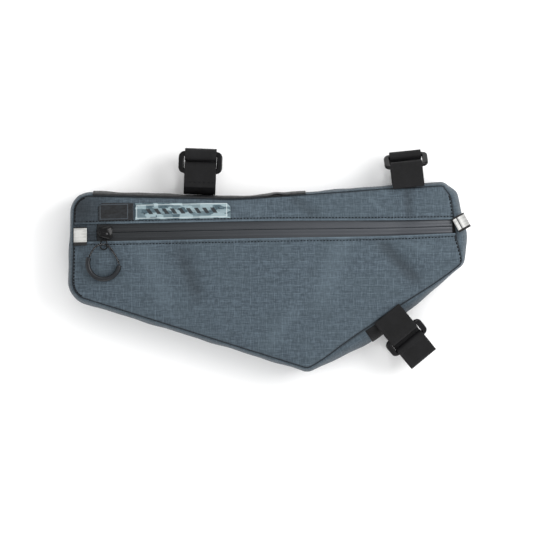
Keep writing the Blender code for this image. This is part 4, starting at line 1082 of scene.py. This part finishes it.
def makeLeftTab():
    x = edgeSteps(seamX(True) + gap, float(alongBody(trim["tabEnd"])), 26)
    middle = zipLine(x)[0] - trim["leftTabDrop"]
    half = trim["leftTabWidth"] / 2
    material = reflectiveMaterial("leftReflectiveTape", 3.2, 16.3, ("#a8a8a5", "#c8c8c5"))
    frontSheet("leftTab", "left_tab", x, middle - half, middle + half, 34, gap + lip["raise"], trim["tabThickness"],
               material, bend=0.0007)


def makeCover():
    x = edgeSteps(float(alongBody(trim["tabEnd"])) - trim["coverOverlap"], float(alongBody(trim["coverEnd"])), 22)
    middle = zipLine(x)[0]
    half = float(zipLine(x[-1:])[1][0]) - gap
    frontSheet("zipEndCover", "zip_end_cover", x, middle - half, middle + half, 24, -wall, pull["coverThickness"],
               ripstopPaintedDeepShade)


def makeLabel(name, node, start, end, cuts, material):
    x = np.unique(np.concatenate([edgeSteps(start, end, 90), [start + trim["chamfer"], end - trim["chamfer"]]]))
    ends = alongBody([trim["labelStart"], trim["labelEnd"]])
    low = np.interp(x, ends, upBody([trim["lowLeft"], trim["lowRight"]]))
    high = np.full_like(x, float(upBody(trim["labelTop"])))
    if "start" in cuts:
        high = high - np.clip(trim["chamfer"] - (x - start), 0.0, None)
    if "end" in cuts:
        high = high - np.clip(trim["chamfer"] - (end - x), 0.0, None)
    return frontSheet(name, node, x, low, high, 26, gap, trim["labelThickness"], material)


makeLeftTab()
makeCover()
splitAt = float(alongBody(trim["labelSplit"]))
labelStart, labelEnd = float(alongBody(trim["labelStart"])), float(alongBody(trim["labelEnd"]))
darkFilm = labelMaterial("darkLabelFilm", 29.0, 16.6, ("#07090c", "#101418", "#191e23", "#3e474f"), False)
paleFilm = labelMaterial("paleLabelFilm", 88.0, 15.4, ("#354850", "#84959a", "#647980", "#b9c3c5"), True)
makeLabel("labelDarkPart", "label_dark", labelStart, splitAt - trim["splitGap"] / 2, ("start",), darkFilm)
makeLabel("labelPalePart", "label_light", splitAt + trim["splitGap"] / 2, labelEnd, ("end",), paleFilm)
print("stage: zip, tabs and label made")


# Straps and tabs of webbing

strap = {"width": 0.030, "thickness": 0.0015, "ringWidth": 0.0416, "ringHeight": 0.0212, "ringBar": 0.0048,
         "ringThickness": 0.0036, "sideExtra": 0.0007, "baseWidth": 0.040}
barTurn = strap["ringBar"] / 2 + strap["thickness"] / 2 + 0.0004

# name, share of length, side, direction, metres out to the crest, ring and hem,
# shares of depth of the ring and hem, ring tilt and carrier, as in the CAD
straps = (
    ("topLeft", 0.332, "top", 88.0, 0.0443, 0.0317, 0.0080, 0.760, 0.810, 4.0, "band"),
    ("topRight", 0.851, "top", 96.0, 0.0298, 0.0220, -0.0036, 0.808, 0.975, 55.0, "gusset"),
    ("lower", 0.817, "bottom", -50.5, 0.0438, 0.0173, -0.0122, 0.835, 0.944, 42.0, "base"),
)
# half length of the webbing's fold round each bar and its shift outwards: loop, then holder
folds = {
    "topLeft": (0.0048, -0.0011, 0.0058, 0.0022),
    "topRight": (0.00355, 0.0, 0.00355, 0.0),
    "lower": (0.00355, 0.0, 0.0041, 0.0),
}
strapNodes = {"topLeft": "top_left", "topRight": "top_right", "lower": "lower"}
loopFoot = ((0.0, 0.438), (0.0, 0.339), (0.0012, 0.215), (0.0055, 0.132))
loopBack = ((0.42, 0.1025), (0.68, 0.1455), (0.89, 0.273), (1.0, 0.446))
loopTail = ((0.0, 0.590), (0.0, 0.496), (0.035, 0.372))
holderFoot = ((0.0002, 0.603), (0.0, 0.479))


def ribbonPiece(name, node, base, out, path, width, thickness, material):
    # A flat strap: a path of (distance out, height), carried across its width with a faint cupping.
    path = evenPath(path, 0.0009)
    ends = np.array([0.0, 0.0001, 0.0003])
    lengths = pathLengths(path)
    places = np.concatenate([ends, lengths[1:-1], lengths[-1] - ends[::-1]])
    path = np.stack([np.interp(places, lengths, path[:, axis]) for axis in range(2)], axis=1)
    ahead = np.gradient(path, places, axis=0)
    ahead /= np.linalg.norm(ahead, axis=1)[:, None]
    normal = np.stack([ahead[:, 1], -ahead[:, 0]], axis=1)
    w = edgeSteps(-width / 2, width / 2, 30)
    across = np.array([out[1], -out[0]])
    ripple = 0.00007 * np.sin(2 * math.pi * places / 0.011 + 1.0)[:, None] * (np.abs(w) / (width / 2))[None, :] ** 4
    flat = path[:, None, :] + normal[:, None, :] * ripple[..., None]
    spots = base + out * flat[..., :1] + across * w[None, :, None]
    centre = lifted(spots, flat[..., 1])
    outward = np.concatenate([out * 1.0, [0.0]])
    faceNormal = normal[:, :1] * outward + normal[:, 1:] * np.array([0.0, 0.0, 1.0])
    faceNormal = np.repeat(faceNormal[:, None], len(w), axis=1)
    half = rimHalf(places, w - w[0], thickness, 0.0004)
    uv = np.stack(np.meshgrid(places, w - w[0], indexing="ij"), axis=-1)
    return sheetPiece(name, centre, faceNormal, half, uv, material, (node,))


def barPoints(centre, reach, shift, start, end, count):
    # Webbing that turns round a bar of the ring in an oval.
    a = np.radians(np.linspace(start, end, count))
    return np.stack([centre[0] + shift + reach * np.cos(a), centre[1] + barTurn * np.sin(a)], axis=1).tolist()


def loopPath(crest, bar, foot, reach, shift):
    t, depth = strap["thickness"], body["depth"]
    inner = crest - 1.6 * t - gap
    path = [(foot + rise, share * depth) for rise, share in loopFoot]
    path += [(share * inner, level * depth) for share, level in loopBack]
    if bar[1] > 0.744 * depth:
        path.append((inner - 0.0002, bar[1] - 0.0090))
    path += barPoints(bar, reach, shift, -85.0, -340.0, 8)
    outer = max(crest - 0.5 * t, bar[0] + shift + reach)
    return path + [(outer - share * crest, level * depth) for share, level in loopTail]


def holderPath(bar, hem, foot, sewnToSeam, reach, shift):
    t, depth = strap["thickness"], body["depth"]
    path = [hem, ((hem[0] + bar[0]) / 2, (hem[1] + bar[1] + barTurn) / 2 + gap)]
    path += barPoints(bar, reach, shift, 95.0, -95.0, 6)
    if sewnToSeam:
        path += [(bar[0] - strap["ringBar"], bar[1] - 1.9 * barTurn), (foot + 0.0022, 0.719 * depth)]
    else:
        behind = min(hem[1], bar[1] + 2.0 * t) - 2.3 * t
        path += [(bar[0] - 4.0 * t, behind - 0.4 * t), (max(hem[0], 5.3 * t), behind - 0.7 * t)]
        path += [(foot + 0.0024, 0.686 * depth)]
    return path + [(foot + rise, share * depth) for rise, share in holderFoot]


def roundedRectangle(width, height, radius, steps):
    parts = []
    for i, (sx, sy) in enumerate(((1, 1), (-1, 1), (-1, -1), (1, -1))):
        a = np.linspace(i * math.pi / 2, (i + 1) * math.pi / 2, steps)
        parts.append(np.stack([sx * (width / 2 - radius) + radius * np.cos(a), sy * (height / 2 - radius) + radius * np.sin(a)], axis=1))
    return np.vstack(parts)


def ringPiece(name, node, base, out, centre, tilt):
    flat = roundedRectangle(strap["ringWidth"] - strap["ringBar"], strap["ringHeight"] - strap["ringBar"], 0.0036, 14)
    # Only the two side bars are wider, inwards, so that they stand close beside the webbing.
    halfWidth = flat[:, 0].max()
    onSide = np.clip((np.abs(flat[:, :1]) - halfWidth + 0.0036) / 0.0036, 0.0, 1.0) ** 2
    flat = flat - np.sign(flat) * np.array([strap["sideExtra"] / 2, 0.0]) * onSide
    lean = math.radians(tilt)
    across = np.array([out[1], -out[0]])
    spots = base + across * flat[:, :1] + out * (centre[0] + flat[:, 1:] * math.cos(lean))
    path = lifted(spots, centre[1] - flat[:, 1] * math.sin(lean))
    face = np.array([out[0] * math.sin(lean), out[1] * math.sin(lean), math.cos(lean)])
    profile = ovalProfile(strap["ringBar"], strap["ringThickness"], 3.6, 28)
    widened = np.concatenate([1.0 + strap["sideExtra"] / strap["ringBar"] * onSide, np.ones_like(onSide)], axis=1)
    rings = tubeRings(path, profile[None] * widened[:, None], True, up=face)
    return loftPiece(name, rings, hardPlastic, (node,), closed=True, smoothAngle=70.0)


def hemStitches(name, base, out, path, distance, width, pitch):
    # A row of stitches across the strap at this distance from the hem, on its outer face.
    lengths = pathLengths(path)
    spot = np.array([np.interp(distance, lengths, path[:, axis]) for axis in range(2)])
    further = np.array([np.interp(distance + 0.001, lengths, path[:, axis]) for axis in range(2)])
    ahead = (further - spot) / np.linalg.norm(further - spot)
    normal = np.array([ahead[1], -ahead[0]])
    if normal[1] < 0:
        normal = -normal
    across = np.array([out[1], -out[0], 0.0])
    w = np.arange(-width / 2, width / 2 + 1e-9, pitch)
    up = np.array([out[0] * normal[0], out[1] * normal[0], normal[1]])
    level = spot + normal * strap["thickness"] / 2
    start = np.array([*(base + out * level[0]), level[1]])
    centres = start + across * w[:, None]
    count = len(w)
    stitch = {"length": 0.62 * pitch, "width": 0.0007, "height": 0.0005}
    stitchRow(name, centres, np.repeat(across[None], count, axis=0), np.repeat(up[None], count, axis=0), stitch, threadBlack)


def makeStraps():
    for name, share, side, direction, crest, ringOut, hemOut, ringDepth, hemDepth, tilt, carrier in straps:
        x = float(alongBody(share))
        place = topAt(x) if side == "top" else bottomAt(x)
        base = outlinePoint(np.array(place))
        angle = math.radians(direction)
        out = np.array([math.cos(angle), math.sin(angle)])
        normal = outlineNormal(np.array(place))
        lean = abs(out[0] * normal[1] - out[1] * normal[0]) * strap["width"] / 2
        under = {"gusset": 0.0, "band": gap + band["thickness"], "base": gap + band["thickness"]}[carrier]
        foot = under + gap + lean + strap["thickness"] / 2
        reach = (strap["ringHeight"] - strap["ringBar"]) / 2
        offset = np.array([reach * math.cos(math.radians(tilt)), -reach * math.sin(math.radians(tilt))])
        centre = np.array([ringOut, ringDepth * body["depth"]])
        hem = (hemOut, hemDepth * body["depth"])
        loop = smoothPath(loopPath(crest, centre + offset, foot, *folds[name][:2]), 10)
        holder = smoothPath(holderPath(centre - offset, hem, foot, carrier == "base", *folds[name][2:]), 10)
        node = strapNodes[name]
        ribbonPiece(name + "Loop", node + "_loop", base, out, loop, strap["width"], strap["thickness"], webbing)
        ribbonPiece(name + "Holder", node + "_holder", base, out, holder, strap["width"], strap["thickness"], webbing)
        ringPiece(name + "Ring", node + "_ring", base, out, centre, tilt)
        if name == "topLeft":
            hemStitches(name + "HemStitches", base, out, holder, 0.0050, 0.0270, 0.0044)
        if carrier == "base":
            places = edgeSteps(place - 0.68 * strap["baseWidth"], place + 0.36 * strap["baseWidth"], 40)
            turns = np.concatenate([[84.0, 83.4, 82.4], np.linspace(80.0, -34.0, 26), [-36.4, -37.4, -38.0]])
            lifts = gap + np.zeros((len(places), len(turns)))
            wallStrip("lowerStrapBase", "lower_strap_base", places, turns, lifts, band["thickness"], webbing)


makeStraps()

# share of reach, height over the seam in tab thicknesses
tabRows = np.array((
    (0.07, 2.2), (0.22, 2.2), (0.34, 1.4), (0.49, 1.8), (0.75, 0.7), (0.92, -0.7),
    (1.00, -2.0), (0.94, -3.2), (0.82, -2.9), (0.70, -2.0),
))


def makeRightTab():
    x = seamX(False)
    y = float(zipLine(np.array([x]))[0][0])
    angle = math.radians(trim["rightTabAngle"])
    out = np.array([math.cos(angle), math.sin(angle)])
    height = body["depth"] - body["crown"]
    path = np.stack([tabRows[:, 0] * trim["rightTabReach"], height + tabRows[:, 1] * trim["tabThickness"]], axis=1)
    # Painted shade: the right tab is the same tape as the left, with its silver made darker.
    material = reflectiveMaterial("rightReflectiveTapePaintedShade", 1.6, 12.8, ("#8a8a88", "#aaaaa8"), 4.6)
    ribbonPiece("rightTab", "right_tab", np.array([x, y]), out, smoothPath(path, 10), trim["tabWidth"],
                trim["tabThickness"], material)


makeRightTab()
print("stage: straps made")


# Slider, link and grip

def makeSlider():
    x, y = pullPlace()
    floor = float(cadHeight(np.array([[x, y]]))[0]) - wall + pull["coverThickness"] + 3 * gap
    # share of length from the pointed end, share of width, share of height
    rows = smoothPath(np.array((
        (0.00, 0.20, 0.45), (0.12, 0.50, 0.75), (0.30, 0.82, 1.00), (0.62, 1.00, 0.92), (0.88, 1.00, 0.70), (1.00, 0.80, 0.50),
    )), 10)
    profile = ovalProfile(1.0, 1.0, 2.9, 36)
    waist = 1.0 - 0.22 * np.exp(-((profile[:, 1] + 0.12) / 0.10) ** 2)
    wide = profile[None, :, 0] * waist[None, :] * pull["sliderWidth"] * rows[:, 1:2]
    narrow = 1.0 - 0.30 * np.clip(profile[:, 1] * 2, 0.0, 1.0) ** 2
    tall = (profile[None, :, 1] + 0.5) * pull["sliderHeight"] * rows[:, 2:3]
    here = x + (rows[:, :1] - 0.5) * pull["sliderLength"] + 0.0 * wide
    rings = np.stack([here, y + wide * narrow[None, :], floor + tall], axis=-1)
    loftPiece("zipSlider", rings, hardPlastic, ("zip_slider",), smoothAngle=60.0)


def makeBail():
    # The slider's bridge: an arched bar from its pointed end to its back, with the link's eye below.
    x, y = pullPlace()
    floor = float(cadHeight(np.array([[x, y]]))[0]) - wall + pull["coverThickness"] + 3 * gap
    top = floor + pull["sliderHeight"]
    points = [(-0.0040, 0.0, -0.0008), (-0.0034, -0.0004, 0.0010), (-0.0012, -0.0010, 0.0017),
              (0.0016, -0.0014, 0.0016), (0.0036, -0.0012, 0.0006), (0.0042, -0.0010, -0.0010)]
    path = smoothPath(np.array(points) + np.array([x, y, top]), 8)
    profile = ovalProfile(0.0030, 0.0013, 3.0, 20)
    rings = tubeRings(path, np.broadcast_to(profile, (len(path), 20, 2)), False)
    loftPiece("sliderBail", rings, hardPlastic, smoothAngle=60.0)


def makeLink():
    x, y = pullPlace()
    centre = np.array([x - 0.0005, y - pull["sliderWidth"] / 2 - pull["linkLength"] / 2 - gap])
    flat = roundedRectangle(pull["linkWidth"] - pull["linkBar"], pull["linkLength"] - pull["linkBar"], 0.0024, 12) + centre
    profile = ovalProfile(pull["linkBar"], pull["linkBar"], 2.3, 16)
    path = lifted(flat, linkHeight())
    rings = tubeRings(path, np.broadcast_to(profile, (len(path), 16, 2)), True)
    loftPiece("pullLink", rings, hardPlastic, ("pull_tab",), closed=True, smoothAngle=70.0)


def makeGrip():
    path = evenPath(gripPath(120), 0.0005)
    lengths = pathLengths(path)
    profile = ovalProfile(pull["gripTube"], pull["gripTube"], 2.0, 28)
    rings = tubeRings(path, roundedEnds(profile, lengths, lengths[-1], 0.0009), False)
    loftPiece("pullGrip", rings, gripRubber, ("pull_grip",), smoothAngle=60.0)


makeSlider()
makeBail()
makeLink()
makeGrip()


# Stitches beside the zip, on both lips

def lipStitches(name, side, startX, endX, distance):
    x = np.arange(startX, endX, lip["pitch"])
    middle, half = zipLine(x)
    spots = np.stack([x, middle + side * (half + distance)], axis=-1)
    height = frontSurface(spots) + lipHeight(spots)
    centres = lifted(spots, height + 0.00010)
    ahead = np.gradient(centres, axis=0)
    ahead /= np.linalg.norm(ahead, axis=1)[:, None]
    up = np.tile(np.array([0.0, 0.0, 1.0]), (len(x), 1))
    stitch = {"length": 0.0019, "width": 0.0010, "height": 0.0007}
    stitchRow(name, centres, ahead, up, stitch, threadBlack)


def seamStitches(name, start, end, distance, pitch):
    # Stitches that pull the front's edge down beside the seam, between two places on the outline.
    place = np.arange(start, end, pitch)
    spots = seamPoint(place, outward=-distance)
    middle, half = zipLine(spots[:, 0])
    keep = np.abs(spots[:, 1] - middle) > half + 0.0015
    place, spots = place[keep], spots[keep]
    centres = lifted(spots, frontSurface(spots) + 0.00008)
    ahead = np.gradient(centres, axis=0)
    ahead /= np.linalg.norm(ahead, axis=1)[:, None]
    up = np.tile(np.array([0.0, 0.0, 1.0]), (len(place), 1))
    stitchRow(name, centres, ahead, up, {"length": 0.72 * pitch, "width": 0.0012, "height": 0.0006}, threadBlack)


seamStitches("leftSeamStitches", cornerAt["topLeft"] - 0.006, seamCrossing(-1.0, True) + 0.060, 0.0012, 0.0033)
seamStitches("rightSeamStitches", seamCrossing(-1.0, False) - 0.030, cornerAt["shoulder"] + 0.004, 0.0012, 0.0033)
lipStitches("upperLipStitches", 1.0, -0.170, 0.1755, lip["stitchUpper"])
lipStitches("lowerLipStitches", -1.0, -0.166, 0.1780, lip["stitchLower"])
print("stage: stitches made")


# Floor and light: a plain pale table under a soft white studio

def makeStudio():
    floorMesh = bpy.data.meshes.new("paleFloor")
    reach = 6.0
    floorMesh.from_pydata([(-reach, -reach, 0), (reach, -reach, 0), (reach, reach, 0), (-reach, reach, 0)], [], [(0, 1, 2, 3)])
    floor = bpy.data.objects.new("paleFloor", floorMesh)
    bpy.context.scene.collection.objects.link(floor)
    material, tree, shader = startMaterial("paleFloor", 0.9, ior=1.45)
    shader.inputs["Base Color"].default_value = linear("#fcfcfc")
    floorMesh.materials.append(material)
    world = bpy.data.worlds.new("studio")
    world.use_nodes = True
    world.node_tree.nodes["Background"].inputs["Color"].default_value = (1.0, 1.0, 1.0, 1.0)
    world.node_tree.nodes["Background"].inputs["Strength"].default_value = 0.85
    bpy.context.scene.world = world
    # name, place, size, watts
    lamps = (
        ("keyLight", (0.66, 0.25, 0.85), 0.7, 8.5),
        ("rightSoftbox", (1.5, -0.3, 1.1), 1.2, 1.0),
        ("topSoftbox", (0.2, 1.6, 1.1), 1.2, 6.0),
        ("lowSoftbox", (0.0, -1.6, 1.1), 1.2, 7.0),
        ("leftSoftbox", (-1.6, -0.3, 1.1), 1.2, 3.5),
    )
    for name, place, size, watts in lamps:
        lamp = bpy.data.lights.new(name, "AREA")
        lamp.shape = "SQUARE"
        lamp.size = size
        lamp.energy = watts
        item = bpy.data.objects.new(name, lamp)
        item.location = place
        bpy.context.scene.collection.objects.link(item)
        away = np.array(place) - np.array([0.0, 0.0, 0.03])
        item.rotation_euler = (math.acos(away[2] / np.linalg.norm(away)), 0.0, math.atan2(away[1], away[0]) + math.pi / 2)
    bpy.context.scene.view_settings.view_transform = "Standard"


makeStudio()
bpy.context.view_layer.update()
